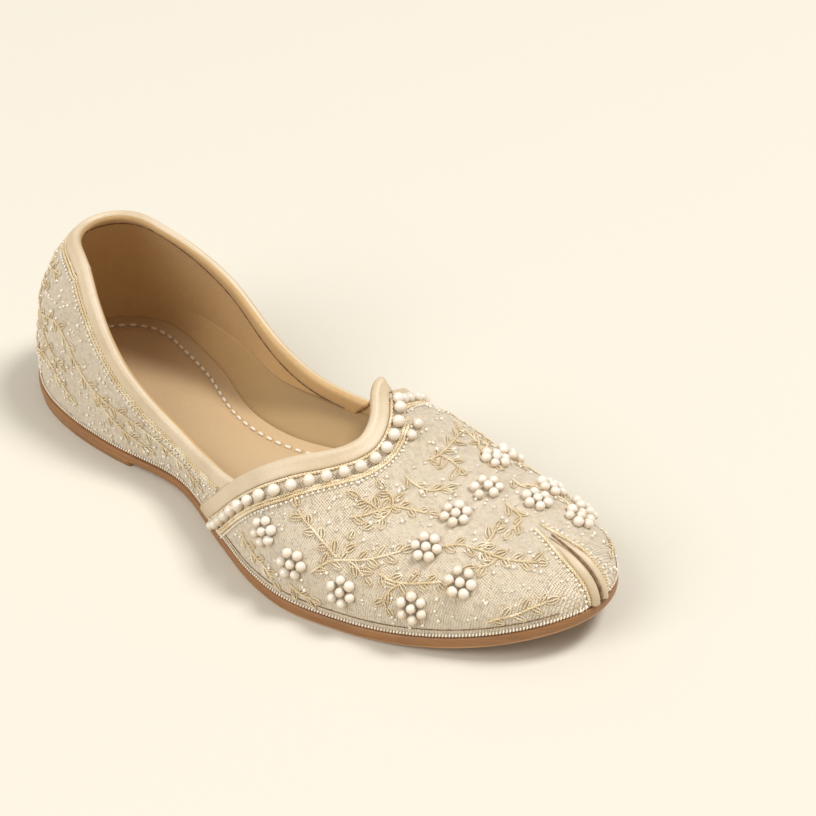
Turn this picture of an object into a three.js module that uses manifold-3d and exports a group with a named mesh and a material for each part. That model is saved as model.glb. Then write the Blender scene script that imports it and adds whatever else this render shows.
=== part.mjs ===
import * as THREE from 'three';
import Module from 'manifold-3d';

const wasm = await Module();
wasm.setup();

// Driving sizes in millimetres; x runs from the heel back (0) to the toe tip, y to the inner side, z up
const SHOE_LENGTH = 250;
const UPPER_WALL = 2.2;
const FIT_GAP = 0.3;
const HEEL_TURN_X = 38;
const CROWN_SQUARE = 2.1;
const SOLE_MARGIN = 1.2;
const SOLE_BEVEL = 0.9;
const HEEL_LIFT_FRONT_X = 73;
const HEEL_LIFT_HEIGHT = 2.15;
const INSOLE_THICKNESS = 1.6;
const BINDING_THICKNESS = 1.1;
const BINDING_OUTER_WIDTH = 5;
const BINDING_INNER_WIDTH = 4;
const BINDING_LIP = 1.5;
const BINDING_EASE = 0.45;
const PIPING_START_X = 226;
const PIPING_WIDTH = 4;
const PIPING_HEIGHT = 1.9;
const PIPING_SLIT = 0.8;
const PIPING_SEAT = 0.35;

// One row per section of the last: outer and inner fullness, crown height over the feather edge,
// crown shift to the inner side, side swell, and the squareness of the outer and inner side
const LAST = [
  { x: 0, lateral: 62.5, medial: 62.5, crown: 61, ridge: 0, belly: 0.09, outSquare: 2.3, inSquare: 2.3 },
  { x: 35, lateral: 50.5, medial: 43.5, crown: 60, ridge: 0, belly: 0.09, outSquare: 2.3, inSquare: 2.3 },
  { x: 65, lateral: 42.2, medial: 32, crown: 57, ridge: 0, belly: 0.08, outSquare: 2.3, inSquare: 2.3 },
  { x: 95, lateral: 35.6, medial: 22.5, crown: 55.5, ridge: 1, belly: 0.05, outSquare: 2.3, inSquare: 2.1 },
  { x: 130, lateral: 45.8, medial: 29, crown: 54.5, ridge: 3, belly: 0.04, outSquare: 2.3, inSquare: 1.8 },
  { x: 152, lateral: 54, medial: 34.5, crown: 52.5, ridge: 3.5, belly: 0.04, outSquare: 2.3, inSquare: 1.75 },
  { x: 165, lateral: 57.3, medial: 38, crown: 44.5, ridge: 3, belly: 0.04, outSquare: 2.3, inSquare: 1.8 },
  { x: 190, lateral: 57.6, medial: 43, crown: 36.5, ridge: 1.5, belly: 0.04, outSquare: 2.3, inSquare: 2 },
  { x: 215, lateral: 56.3, medial: 47.5, crown: 38, ridge: 0, belly: 0.04, outSquare: 2.3, inSquare: 2.1 },
  { x: 250, lateral: 52.1, medial: 56, crown: 38, ridge: 0, belly: 0.04, outSquare: 2.3, inSquare: 2.1 },
];

// Height of the feather edge and of the tread under it, with heel seat, arch and toe spring
const SOLE_LINE = [
  { x: 0, feather: 7, tread: 2.2 },
  { x: 60, feather: 5.8, tread: 2.2 },
  { x: 73, feather: 5.5, tread: 2.2 },
  { x: 95, feather: 5, tread: 1.4 },
  { x: 120, feather: 4.7, tread: 0.4 },
  { x: 140, feather: 4.5, tread: 0 },
  { x: 185, feather: 4.5, tread: 0 },
  { x: 205, feather: 5.4, tread: 1 },
  { x: 230, feather: 9.7, tread: 5.2 },
  { x: 250, feather: 15.9, tread: 11.3 },
];

// Height of the quarter topline on the outer and the inner side
const TOPLINE = [
  { x: -5, lateral: 62, medial: 62 },
  { x: 22, lateral: 62, medial: 62 },
  { x: 36, lateral: 60, medial: 60 },
  { x: 50, lateral: 51.5, medial: 53 },
  { x: 60, lateral: 44, medial: 46.5 },
  { x: 75, lateral: 33.5, medial: 36 },
  { x: 90, lateral: 25.5, medial: 27.5 },
  { x: 105, lateral: 22.5, medial: 22.5 },
  { x: 120, lateral: 24.5, medial: 21 },
  { x: 140, lateral: 28, medial: 21 },
];

// Rear edge of the vamp: turn is 0 on the crown and 1 at the feather edge
const THROAT = [
  { turn: 0, x: 153.5 },
  { turn: 0.03, x: 156.6 },
  { turn: 0.08, x: 162.2 },
  { turn: 0.13, x: 165 },
  { turn: 0.18, x: 165.9 },
  { turn: 0.24, x: 165 },
  { turn: 0.32, x: 162 },
  { turn: 0.43, x: 156.3 },
  { turn: 0.55, x: 149 },
  { turn: 0.64, x: 142.4 },
  { turn: 0.74, x: 134.8 },
  { turn: 0.86, x: 126 },
  { turn: 1, x: 114.7 },
];
const BINDING_STOP = 0.016;
const STRAP_START = 0.004;
const COLLAR_STOP = 1.9;
const CORNER_TURN = { lateral: 0.74, medial: 0.82 };
const cornerX = (side) => smooth(THROAT, 'x', CORNER_TURN[side], 'turn');

// Smooth curve through one column of a table
function smooth(rows, column, at, key = 'x') {
  const last = rows.length - 1;
  let i = 0;
  while (i < last - 1 && at > rows[i + 1][key]) i += 1;
  const slope = (j) => (rows[j + 1][column] - rows[j][column]) / (rows[j + 1][key] - rows[j][key]);
  const span = (j) => rows[j + 1][key] - rows[j][key];
  const tangent = (j) => {
    if (j === 0) return slope(0);
    if (j === last) return slope(last - 1);
    if (slope(j - 1) * slope(j) <= 0) return 0;
    return (slope(j - 1) * span(j) + slope(j) * span(j - 1)) / (span(j - 1) + span(j));
  };
  const h = span(i);
  const t = Math.min(Math.max((at - rows[i][key]) / h, 0), 1);
  const a = (1 + 2 * t) * (1 - t) ** 2 * rows[i][column];
  const b = t * (1 - t) ** 2 * h * tangent(i);
  const c = t * t * (3 - 2 * t) * rows[i + 1][column];
  const d = t * t * (t - 1) * h * tangent(i + 1);
  return a + b + c + d;
}

const stationX = (s) => (SHOE_LENGTH * (1 - Math.cos(s))) / 2;
const stationOf = (x) => Math.acos(1 - (2 * x) / SHOE_LENGTH);
const feather = (x) => smooth(SOLE_LINE, 'feather', x);
const tread = (x) => smooth(SOLE_LINE, 'tread', x);

// Outer face of the upper: s runs heel to toe, around runs inner feather edge, crown, outer feather edge
function skin(s, around) {
  const x = stationX(s);
  const c = Math.cos(around);
  const up = Math.abs(Math.sin(around));
  const inner = c > 0;
  const half = smooth(LAST, inner ? 'medial' : 'lateral', x) * Math.sin(s);
  const square = smooth(LAST, inner ? 'inSquare' : 'outSquare', x);
  const reach = Math.abs(c) ** (2 / square) + smooth(LAST, 'belly', x) * up * Math.abs(c);
  const height = smooth(LAST, 'crown', x) * (x < SHOE_LENGTH / 2 ? 1 : Math.abs(Math.sin(s)));
  const y = Math.sign(c) * half * reach + smooth(LAST, 'ridge', x) * up ** 2;
  const z = feather(x) + height * up ** (2 / CROWN_SQUARE);
  const turned = x < HEEL_TURN_X ? HEEL_TURN_X - (HEEL_TURN_X - x) * reach : x;
  return new THREE.Vector3(turned, y, z);
}

// Directions along the foot and around it, and the outward normal
function skinFrame(s, around) {
  const e = 2e-4;
  const sAt = Math.min(s, Math.PI - 2 * e);
  const aroundAt = Math.min(Math.max(around, 2 * e), Math.PI - 2 * e);
  const along = skin(sAt + e, aroundAt).sub(skin(sAt - e, aroundAt)).divideScalar(2 * e);
  const over = skin(sAt, aroundAt + e).sub(skin(sAt, aroundAt - e)).divideScalar(2 * e);
  const normal = over.clone().cross(along).normalize();
  return { along, over, normal };
}

function skinOffset(s, around, off) {
  if (Math.PI - s < 1e-6) return skin(s, around).add(new THREE.Vector3(off, 0, 0));
  return skin(s, around).addScaledVector(skinFrame(s, around).normal, off);
}

// Point a given distance along the face in direction dir, then lifted by off
function skinStep(s, around, dir, step, off) {
  const { along, over } = skinFrame(s, around);
  const aa = along.dot(along);
  const ao = along.dot(over);
  const oo = over.dot(over);
  const det = aa * oo - ao * ao;
  const da = dir.dot(along);
  const dO = dir.dot(over);
  const ds = (da * oo - dO * ao) / det;
  const dAround = (dO * aa - da * ao) / det;
  return skinOffset(s + ds * step, around + dAround * step, off);
}

// Closed solid from points and triangles: doubled points are joined and empty triangles dropped
function solid(points, triangles) {
  const keyed = new Map();
  const kept = [];
  const index = points.map((p) => {
    const key = [p.x, p.y, p.z].map((v) => Math.round(v * 2000)).join(',');
    if (!keyed.has(key)) {
      keyed.set(key, kept.length);
      kept.push(p);
    }
    return keyed.get(key);
  });
  const faces = triangles
    .map((t) => t.map((i) => index[i]))
    .filter(([a, b, c]) => a !== b && b !== c && a !== c);
  const volume = faces.reduce((sum, [a, b, c]) => sum + kept[a].dot(kept[b].clone().cross(kept[c])), 0);
  const outward = volume > 0 ? faces : faces.map(([a, b, c]) => [a, c, b]);
  const vertProperties = new Float32Array(kept.flatMap((p) => [p.x, p.y, p.z]));
  const triVerts = new Uint32Array(outward.flat());
  return new wasm.Manifold(new wasm.Mesh({ numProp: 3, vertProperties, triVerts }));
}

// Solid swept through rings of points, with the same cap triangles at both ends
function ringSolid(rings, cap) {
  const n = rings[0].length;
  const triangles = [];
  for (let i = 0; i + 1 < rings.length; i += 1) {
    for (let j = 0; j < n; j += 1) {
      const a = i * n + j;
      const b = i * n + ((j + 1) % n);
      triangles.push([a, b, b + n], [a, b + n, a + n]);
    }
  }
  const end = (rings.length - 1) * n;
  cap.forEach(([a, b, c]) => {
    triangles.push([a, c, b]);
    triangles.push([end + a, end + b, end + c]);
  });
  return solid(rings.flat(), triangles);
}

const RECT_CAP = [[0, 1, 2], [0, 2, 3]];
const U_CAP = [[0, 1, 2], [0, 2, 7], [7, 2, 3], [7, 3, 6], [6, 3, 4], [6, 4, 5]];

// Filled form inside a shifted copy of the skin, with a skirt hanging below the feather edge
function form(off, skirt, stations, steps) {
  const rings = [];
  for (let i = 0; i <= stations; i += 1) {
    const s = (Math.PI * i) / stations;
    const ring = [];
    for (let j = 0; j <= steps; j += 1) ring.push(skinOffset(s, (Math.PI * j) / steps, off));
    if (skirt > 0) {
      ring.push(ring[steps].clone().setZ(ring[steps].z - skirt));
      ring.push(ring[0].clone().setZ(ring[0].z - skirt));
    }
    rings.push(ring);
  }
  return ringSolid(rings, []);
}

// Throat edge of one side from the corner to the crown
function throatPath(side, from, to, count) {
  const sign = side === 'lateral' ? 1 : -1;
  const path = [];
  for (let i = 0; i <= count; i += 1) {
    const turn = from + ((to - from) * i) / count;
    const s = stationOf(smooth(THROAT, 'x', turn, 'turn'));
    path.push({ s, around: (Math.PI / 2) * (1 + sign * turn) });
  }
  return path;
}

// Quarter topline of one side from the heel back to the corner
function toplinePath(side, endX, count) {
  const path = [];
  for (let i = 0; i <= count; i += 1) {
    const s = (stationOf(endX) * i) / count;
    let low = 0;
    let high = Math.PI / 2;
    for (let k = 0; k < 40; k += 1) {
      const mid = (low + high) / 2;
      const p = skin(s, side === 'lateral' ? Math.PI - mid : mid);
      if (p.z < smooth(TOPLINE, side, p.x)) low = mid;
      else high = mid;
    }
    path.push({ s, around: side === 'lateral' ? Math.PI - low : low });
  }
  return path;
}

// Tool that opens collar and throat square to the skin, along the closed edge of the opening
function openingTool() {
  const path = [
    ...throatPath('lateral', CORNER_TURN.lateral, 0, 30),
    ...throatPath('medial', 0, CORNER_TURN.medial, 30).slice(1),
    ...toplinePath('medial', cornerX('medial'), 34).reverse().slice(1),
    ...toplinePath('lateral', cornerX('lateral'), 34).slice(1),
  ];
  const low = new THREE.Vector3(92, 0, 20);
  const high = new THREE.Vector3(92, 0, 130);
  const rings = path.map(({ s, around }) => {
    const bottom = skinOffset(s, around, -7);
    const top = skinOffset(s, around, 12);
    return [low, bottom, top, high];
  });
  return ringSolid([...rings, rings[0]], []);
}

// Section of a folded edge strip: width along the face from the edge, lift over the outer face
const FOLDED_STRIP = [
  { width: BINDING_OUTER_WIDTH, lift: FIT_GAP },
  { width: BINDING_OUTER_WIDTH, lift: FIT_GAP + BINDING_THICKNESS },
  { width: -BINDING_LIP, lift: FIT_GAP + BINDING_THICKNESS },
  { width: -BINDING_LIP, lift: -UPPER_WALL - FIT_GAP - BINDING_THICKNESS },
  { width: BINDING_INNER_WIDTH, lift: -UPPER_WALL - FIT_GAP - BINDING_THICKNESS },
  { width: BINDING_INNER_WIDTH, lift: -UPPER_WALL - FIT_GAP },
  { width: -BINDING_EASE, lift: -UPPER_WALL - FIT_GAP },
  { width: -BINDING_EASE, lift: FIT_GAP },
];
const FLAT_STRIP = [
  { width: 0, lift: FIT_GAP },
  { width: BINDING_OUTER_WIDTH, lift: FIT_GAP },
  { width: BINDING_OUTER_WIDTH, lift: FIT_GAP + BINDING_THICKNESS },
  { width: 0, lift: FIT_GAP + BINDING_THICKNESS },
];

// Strip that follows a path on the skin; a mitre turns the sections near one station to a given direction
function strip(path, section, cap, away, mitres) {
  const at = path.map(({ s, around }) => skin(s, around));
  const length = [0];
  for (let i = 1; i < at.length; i += 1) length.push(length[i - 1] + at[i].distanceTo(at[i - 1]));
  const rings = path.map(({ s, around }, i) => {
    const before = at[Math.max(i - 1, 0)];
    const after = at[Math.min(i + 1, at.length - 1)];
    const travel = after.clone().sub(before).normalize();
    const { normal } = skinFrame(s, around);
    const square = travel.clone().cross(normal).normalize().multiplyScalar(away);
    const run = i > 0 ? at[i].clone().sub(before) : travel.clone();
    const edge = run.cross(normal).normalize().multiplyScalar(away);
    const dir = square.clone();
    mitres.forEach(({ station, toward, fade }) => {
      const pull = Math.max(1 - Math.abs(length[i] - length[station]) / fade, 0);
      const flat = toward.clone().addScaledVector(normal, -toward.dot(normal)).normalize();
      dir.lerp(flat, pull).normalize();
    });
    const reach = 1 / Math.max(dir.dot(edge), 0.6);
    return section.map(({ width, lift }) => skinStep(s, around, dir, width * reach, lift));
  });
  return ringSolid(rings, cap);
}

// Point on the feather outline of one side, moved outward in plan
function outline(s, side, out) {
  const around = side === 'lateral' ? Math.PI : 0;
  const e = 1e-3;
  const step = skin(s + e, around).sub(skin(s - e, around));
  const normal = new THREE.Vector2(step.y, -step.x).normalize();
  const sign = side === 'lateral' ? 1 : -1;
  const p = skin(s, around);
  return new THREE.Vector3(p.x + normal.x * out * sign, p.y + normal.y * out * sign, p.z);
}

// Plate under the foot: levels give the outward margin and the height of each edge line
function plate(fromX, toX, count, levels) {
  const rings = [];
  const s0 = stationOf(fromX);
  const s1 = stationOf(toX);
  for (let i = 0; i <= count; i += 1) {
    const s = s0 + ((s1 - s0) * i) / count;
    const x = stationX(s);
    const side = (name) => levels.map(({ out, z }) => outline(s, name, out).setZ(z(x)));
    rings.push([...side('lateral'), ...side('medial').reverse()]);
  }
  const n = rings[0].length;
  const cap = [];
  for (let j = 1; j + 1 < n; j += 1) cap.push([0, j, j + 1]);
  return ringSolid(rings, cap);
}

// Half-round piping that runs over the toe beside the middle line, from the crown to the feather edge
function piping(side) {
  const sign = side === 'lateral' ? -1 : 1;
  const column = side === 'lateral' ? 'lateral' : 'medial';
  const squareColumn = side === 'lateral' ? 'outSquare' : 'inSquare';
  const onLine = (y, t) => {
    let low = PIPING_START_X;
    let high = SHOE_LENGTH;
    for (let k = 0; k < 40; k += 1) {
      const mid = (low + high) / 2;
      if (smooth(LAST, column, mid) * Math.sin(stationOf(mid)) > y) low = mid;
      else high = mid;
    }
    const x = PIPING_START_X + (low - PIPING_START_X) * Math.sin((t * Math.PI) / 2);
    const half = smooth(LAST, column, x) * Math.sin(stationOf(x));
    const square = smooth(LAST, squareColumn, x);
    const turned = Math.acos(Math.min((y / half) ** (square / 2), 1));
    return { s: stationOf(x), around: side === 'lateral' ? Math.PI - turned : turned };
  };
  const rings = [];
  const stations = 16;
  const across = 6;
  for (let i = 0; i <= stations; i += 1) {
    const t = (i / stations) * 0.97;
    const ring = [];
    for (let j = 0; j <= across; j += 1) {
      const v = j / across;
      const p = onLine(PIPING_SLIT / 2 + v * PIPING_WIDTH, t);
      const rise = PIPING_SEAT + 0.15 + PIPING_HEIGHT * Math.sqrt(Math.max(1 - (2 * v - 1) ** 2, 0));
      ring.push(skinOffset(p.s, p.around, rise));
    }
    for (let j = across; j >= 0; j -= 1) {
      const p = onLine(PIPING_SLIT / 2 + (j / across) * PIPING_WIDTH, t);
      ring.push(skinOffset(p.s, p.around, PIPING_SEAT));
    }
    rings.push(sign > 0 ? ring.reverse() : ring);
  }
  const n = rings[0].length;
  const cap = [];
  for (let j = 0; j < across; j += 1) {
    cap.push([j, j + 1, n - 2 - j]);
    cap.push([j, n - 2 - j, n - 1 - j]);
  }
  return ringSolid(rings, cap);
}

// Upper: one hollow wall, open at the collar and throat and along the feather edge
const upper = form(0, 0, 54, 26).subtract(form(-UPPER_WALL, 6, 54, 26)).subtract(openingTool());

// Sole unit: bevelled outsole with arch and toe spring, thin heel lift, insole inside the wall
const outsole = plate(0, SHOE_LENGTH, 64, [
  { out: SOLE_MARGIN, z: (x) => feather(x) - FIT_GAP },
  { out: SOLE_MARGIN, z: (x) => tread(x) + SOLE_BEVEL },
  { out: SOLE_MARGIN - SOLE_BEVEL, z: tread },
]);
const heelLift = plate(0, HEEL_LIFT_FRONT_X, 26, [
  { out: SOLE_MARGIN - SOLE_BEVEL, z: () => HEEL_LIFT_HEIGHT },
  { out: SOLE_MARGIN - SOLE_BEVEL, z: () => 0 },
]);
const insole = plate(0, SHOE_LENGTH, 56, [
  { out: -UPPER_WALL - FIT_GAP, z: (x) => feather(x) + INSOLE_THICKNESS },
  { out: -UPPER_WALL - FIT_GAP, z: feather },
]);

// Collar binding: folded strip round the quarter topline, cut to the slope of the vamp edge at both ends
const lateralTop = toplinePath('lateral', cornerX('lateral') - COLLAR_STOP, 34).reverse();
const medialTop = toplinePath('medial', cornerX('medial') - COLLAR_STOP, 34).slice(1);
const edgeFall = (side) => {
  const [a, b] = throatPath(side, CORNER_TURN[side], CORNER_TURN[side] + 0.1, 1);
  return skin(b.s, b.around).sub(skin(a.s, a.around)).normalize();
};
const collarPath = [...lateralTop, ...medialTop];
const collarBinding = strip(collarPath, FOLDED_STRIP, U_CAP, -1, [
  { station: 0, toward: edgeFall('lateral'), fade: 9 },
  { station: collarPath.length - 1, toward: edgeFall('medial'), fade: 9 },
]);

// Throat binding: folded strip along the vamp edge, mitred at the peak
const throatEdge = [
  ...throatPath('lateral', CORNER_TURN.lateral - BINDING_STOP, 0, 30),
  ...throatPath('medial', 0, CORNER_TURN.medial - BINDING_STOP, 30).slice(1),
];
const throatBinding = strip(throatEdge, FOLDED_STRIP, U_CAP, 1, [
  { station: 30, toward: new THREE.Vector3(1, 0, -0.6), fade: 9 },
]);

// Side straps: the binding runs on down the vamp edge over the quarter to the sole
const sideStrap = (side) => {
  const path = throatPath(side, CORNER_TURN[side] - STRAP_START, 0.985, 10);
  return strip(path, FLAT_STRIP, RECT_CAP, side === 'lateral' ? -1 : 1, []);
};

const pieces = [
  ['upper', upper, 0xe4d9c6],
  ['outsole', outsole, 0xa97b50],
  ['heel_lift', heelLift, 0x96683f],
  ['insole', insole, 0xc9a377],
  ['collar_binding', collarBinding, 0xe0cba6],
  ['throat_binding', throatBinding, 0xe0cba6],
  ['side_strap_lateral', sideStrap('lateral'), 0xe0cba6],
  ['side_strap_medial', sideStrap('medial'), 0xe0cba6],
  ['toe_piping_lateral', piping('lateral'), 0xdcc8a4],
  ['toe_piping_medial', piping('medial'), 0xdcc8a4],
];

// The finished shoe stands on the floor with the middle of its plan over the origin
const box = new THREE.Box3();
pieces.forEach(([, body]) => {
  const { min, max } = body.boundingBox();
  box.union(new THREE.Box3(new THREE.Vector3(...min), new THREE.Vector3(...max)));
});
const middle = box.getCenter(new THREE.Vector3());

const shoe = new THREE.Group();
shoe.name = 'mojari_shoe';
pieces.forEach(([name, body, color]) => {
  const { vertProperties, triVerts } = body.getMesh();
  const geometry = new THREE.BufferGeometry();
  geometry.setAttribute('position', new THREE.BufferAttribute(new Float32Array(vertProperties), 3));
  geometry.setIndex(new THREE.BufferAttribute(new Uint32Array(triVerts), 1));
  geometry.translate(-middle.x, -middle.y, -box.min.z);
  geometry.computeVertexNormals();
  const material = new THREE.MeshStandardMaterial({ color, roughness: 0.7 });
  material.name = name;
  const mesh = new THREE.Mesh(geometry, material);
  mesh.name = name;
  shoe.add(mesh);
});

export default shoe;
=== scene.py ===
import bmesh
import bpy
import numpy as np
from mathutils import Matrix


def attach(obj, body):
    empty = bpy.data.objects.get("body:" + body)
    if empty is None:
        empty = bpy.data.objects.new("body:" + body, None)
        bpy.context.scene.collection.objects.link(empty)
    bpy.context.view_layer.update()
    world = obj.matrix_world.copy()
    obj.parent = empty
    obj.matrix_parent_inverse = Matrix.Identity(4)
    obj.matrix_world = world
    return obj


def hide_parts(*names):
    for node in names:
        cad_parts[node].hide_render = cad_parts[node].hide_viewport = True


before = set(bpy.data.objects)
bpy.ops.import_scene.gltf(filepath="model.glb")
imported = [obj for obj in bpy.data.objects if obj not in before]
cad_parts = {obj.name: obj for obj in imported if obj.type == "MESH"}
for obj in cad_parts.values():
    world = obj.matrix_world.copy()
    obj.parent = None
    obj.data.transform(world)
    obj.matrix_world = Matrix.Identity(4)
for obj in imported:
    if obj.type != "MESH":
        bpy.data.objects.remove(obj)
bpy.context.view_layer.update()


# ---------------------------------------------------------------- The last
# The wooden form that the shoe is built on. It is no piece itself, but every panel, strip and bead
# below takes its shape or place from it. Millimetres: x from the heel back to the toe tip, y to the
# inner side of the foot, z up from the floor.
LENGTH = 250.0
HEEL_TURN_X = 38.0
CROWN_SQUARE = 2.1
PLAN_MIDDLE = np.array([125.5213, -8.6546, 0.0])
SLOPE_STEP = 2e-4
LAST = {
    "x": [0, 35, 65, 95, 130, 152, 165, 190, 215, 250],
    "lateral": [62.5, 50.5, 42.2, 35.6, 45.8, 54, 57.3, 57.6, 56.3, 52.1],
    "medial": [62.5, 43.5, 32, 22.5, 29, 34.5, 38, 43, 47.5, 56],
    "crown": [61, 60, 57, 55.5, 54.5, 52.5, 44.5, 36.5, 38, 38],
    "ridge": [0, 0, 0, 1, 3, 3.5, 3, 1.5, 0, 0],
    "belly": [0.09, 0.09, 0.08, 0.05, 0.04, 0.04, 0.04, 0.04, 0.04, 0.04],
    "outer_square": [2.3, 2.3, 2.3, 2.3, 2.3, 2.3, 2.3, 2.3, 2.3, 2.3],
    "inner_square": [2.3, 2.3, 2.3, 2.1, 1.7, 1.5, 1.55, 1.9, 2.1, 2.1],
    "inner_drop": [0, 0, 0, 0, 6, 11, 2, 0, 0, 0],
}
DROP_REACH = 0.16
SOLE_LINE = {
    "x": [0, 60, 73, 95, 120, 140, 185, 205, 230, 250],
    "feather": [7, 5.8, 5.5, 5, 4.7, 4.5, 4.5, 5.4, 9.7, 15.9],
    "tread": [2.2, 2.2, 2.2, 1.4, 0.4, 0, 0, 1, 5.2, 11.3],
}


def smooth(table, column, at, key="x"):
    """Cubic curve through one column of a table. Its slope at a row is the mean of the slopes on
    both sides, each weighted by the other's span, and level where the column turns."""
    xs, ys = np.array(table[key], float), np.array(table[column], float)
    span = np.diff(xs)
    slope = np.diff(ys) / span
    inner = (slope[:-1] * span[1:] + slope[1:] * span[:-1]) / (span[:-1] + span[1:])
    inner = np.where(slope[:-1] * slope[1:] <= 0, 0, inner)
    tangent = np.concatenate([slope[:1], inner, slope[-1:]])
    at = np.asarray(at, float)
    i = np.clip(np.searchsorted(xs, at) - 1, 0, len(xs) - 2)
    t = np.clip((at - xs[i]) / span[i], 0, 1)
    ends = (1 + 2 * t) * (1 - t) ** 2 * ys[i] + t * t * (3 - 2 * t) * ys[i + 1]
    return ends + span[i] * (t * (1 - t) ** 2 * tangent[i] + t * t * (t - 1) * tangent[i + 1])


def unit(v):
    """Vectors of length one."""
    return v / np.maximum(np.linalg.norm(v, axis=-1, keepdims=True), 1e-12)


def ease(t):
    """Soft step from 0 to 1."""
    t = np.clip(t, 0, 1)
    return t * t * (3 - 2 * t)


def station_of(x):
    """Angle s of the plan ellipse at a length x."""
    return np.arccos(1 - 2 * np.asarray(x, float) / LENGTH)


def skin(s, around):
    """Outer face of the upper. s runs from heel to toe on a plan ellipse; around runs from the inner
    feather edge over the crown to the outer one, on a superellipse as wide and high as the table
    says, whose inner shoulder falls away beside the tongue."""
    s, around = np.broadcast_arrays(np.asarray(s, float), np.asarray(around, float))
    x = LENGTH * (1 - np.cos(s)) / 2
    c, up = np.cos(around), np.abs(np.sin(around))
    side = np.abs(c)
    half = np.where(c > 0, smooth(LAST, "medial", x), smooth(LAST, "lateral", x)) * np.sin(s)
    square = np.where(c > 0, smooth(LAST, "inner_square", x), smooth(LAST, "outer_square", x))
    reach = side ** (2 / square) + smooth(LAST, "belly", x) * up * side
    height = smooth(LAST, "crown", x) * np.where(x < LENGTH / 2, 1, np.abs(np.sin(s)))
    y = np.sign(c) * half * reach + smooth(LAST, "ridge", x) * up**2
    z = smooth(SOLE_LINE, "feather", x) + height * up ** (2 / CROWN_SQUARE)
    z = z - np.where(c > 0, smooth(LAST, "inner_drop", x), 0) * (1 - np.exp(-((c / DROP_REACH) ** 2))) * up
    turned = np.where(x < HEEL_TURN_X, HEEL_TURN_X - (HEEL_TURN_X - x) * reach, x)
    return np.stack([turned, y, z], -1)


def skin_frame(s, around):
    """Slopes of the skin along the foot and over it, by small differences, and its outward normal."""
    s, around = np.broadcast_arrays(np.asarray(s, float), np.asarray(around, float))
    s = np.minimum(s, np.pi - 2 * SLOPE_STEP)
    around = np.clip(around, 2 * SLOPE_STEP, np.pi - 2 * SLOPE_STEP)
    along = (skin(s + SLOPE_STEP, around) - skin(s - SLOPE_STEP, around)) / (2 * SLOPE_STEP)
    over = (skin(s, around + SLOPE_STEP) - skin(s, around - SLOPE_STEP)) / (2 * SLOPE_STEP)
    normal = unit(np.cross(over, along))
    tip = (s > np.pi - 2e-3)[..., None]
    return along, over, np.where(tip, np.array([1.0, 0.0, 0.0]), normal)


def lay(s, around, lift=0.0):
    """Point of the skin, lifted along the outward normal."""
    return skin(s, around) + np.asarray(lift, float)[..., None] * skin_frame(s, around)[2]


def walk(s, around, ahead, aside):
    """Place reached on the skin after a short way ahead to the toe and aside to the outer side: the
    way is split on the skin's own two slopes."""
    along, over, _ = skin_frame(s, around)
    size = np.linalg.norm(along, axis=-1)
    first = along / size[..., None]
    lean = (over * first).sum(-1)
    across = np.linalg.norm(over - lean[..., None] * first, axis=-1)
    turn = aside / across
    return s + (ahead - turn * lean) / size, around + turn


# ---------------------------------------------------------------- The view
# A single camera at the photograph's angle: to the right of the toe, looking down on the outer side.
# The embroidery is charted on the picture, so its places are found through the same view.
VIEW_TURN, VIEW_RISE, VIEW_ROLL = np.radians([42.2019, 35.36, -0.40])
VIEW_DISTANCE = 714.1
VIEW_FOCAL = 2055.38
PICTURE = 816
SENSOR = 36.0
VIEW_AIM = np.array([141.111, 33.294, 20.0])
view_back = np.array([
    np.sin(VIEW_TURN) * np.cos(VIEW_RISE), -np.cos(VIEW_TURN) * np.cos(VIEW_RISE), np.sin(VIEW_RISE)])
level_right = np.array([np.cos(VIEW_TURN), np.sin(VIEW_TURN), 0.0])
level_up = np.cross(view_back, level_right)
view_right = level_right * np.cos(VIEW_ROLL) + level_up * np.sin(VIEW_ROLL)
view_up = level_up * np.cos(VIEW_ROLL) - level_right * np.sin(VIEW_ROLL)
view_from = VIEW_AIM + view_back * VIEW_DISTANCE

camera_data = bpy.data.cameras.new("shoe_view")
camera_data.sensor_width = SENSOR
camera_data.lens = VIEW_FOCAL / PICTURE * SENSOR
camera_data.clip_start, camera_data.clip_end = 0.01, 50
camera = bpy.data.objects.new("shoe_view", camera_data)
bpy.context.scene.collection.objects.link(camera)
place = np.eye(4)
place[:3, :3] = np.stack([view_right, view_up, view_back], 1)
place[:3, 3] = (view_from - PLAN_MIDDLE) / 1000
camera.matrix_world = Matrix(place.tolist())
bpy.context.scene.camera = camera

NET_FROM_X = 105.0
net_s, net_around = np.meshgrid(
    np.linspace(station_of(NET_FROM_X), np.pi - 0.02, 520), np.linspace(0.02, np.pi - 0.02, 520))
net_point = skin(net_s, net_around)
net_sight = view_from - net_point
net_shown = (skin_frame(net_s, net_around)[2] * net_sight).sum(-1) > 0
net_depth = net_sight @ view_back
net_pixel = np.stack([
    PICTURE / 2 - VIEW_FOCAL * (net_sight @ view_right) / net_depth,
    PICTURE / 2 + VIEW_FOCAL * (net_sight @ view_up) / net_depth], -1)
net_pixel[~net_shown] = 1e6


def picked(pixels):
    """Places (s, around) on the vamp that show at given pixels: the nearest of a fine net of points
    of the skin that face the camera."""
    best = [np.argmin(((net_pixel - np.array(p)) ** 2).sum(-1)) for p in pixels]
    return net_s.ravel()[best], net_around.ravel()[best]


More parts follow.
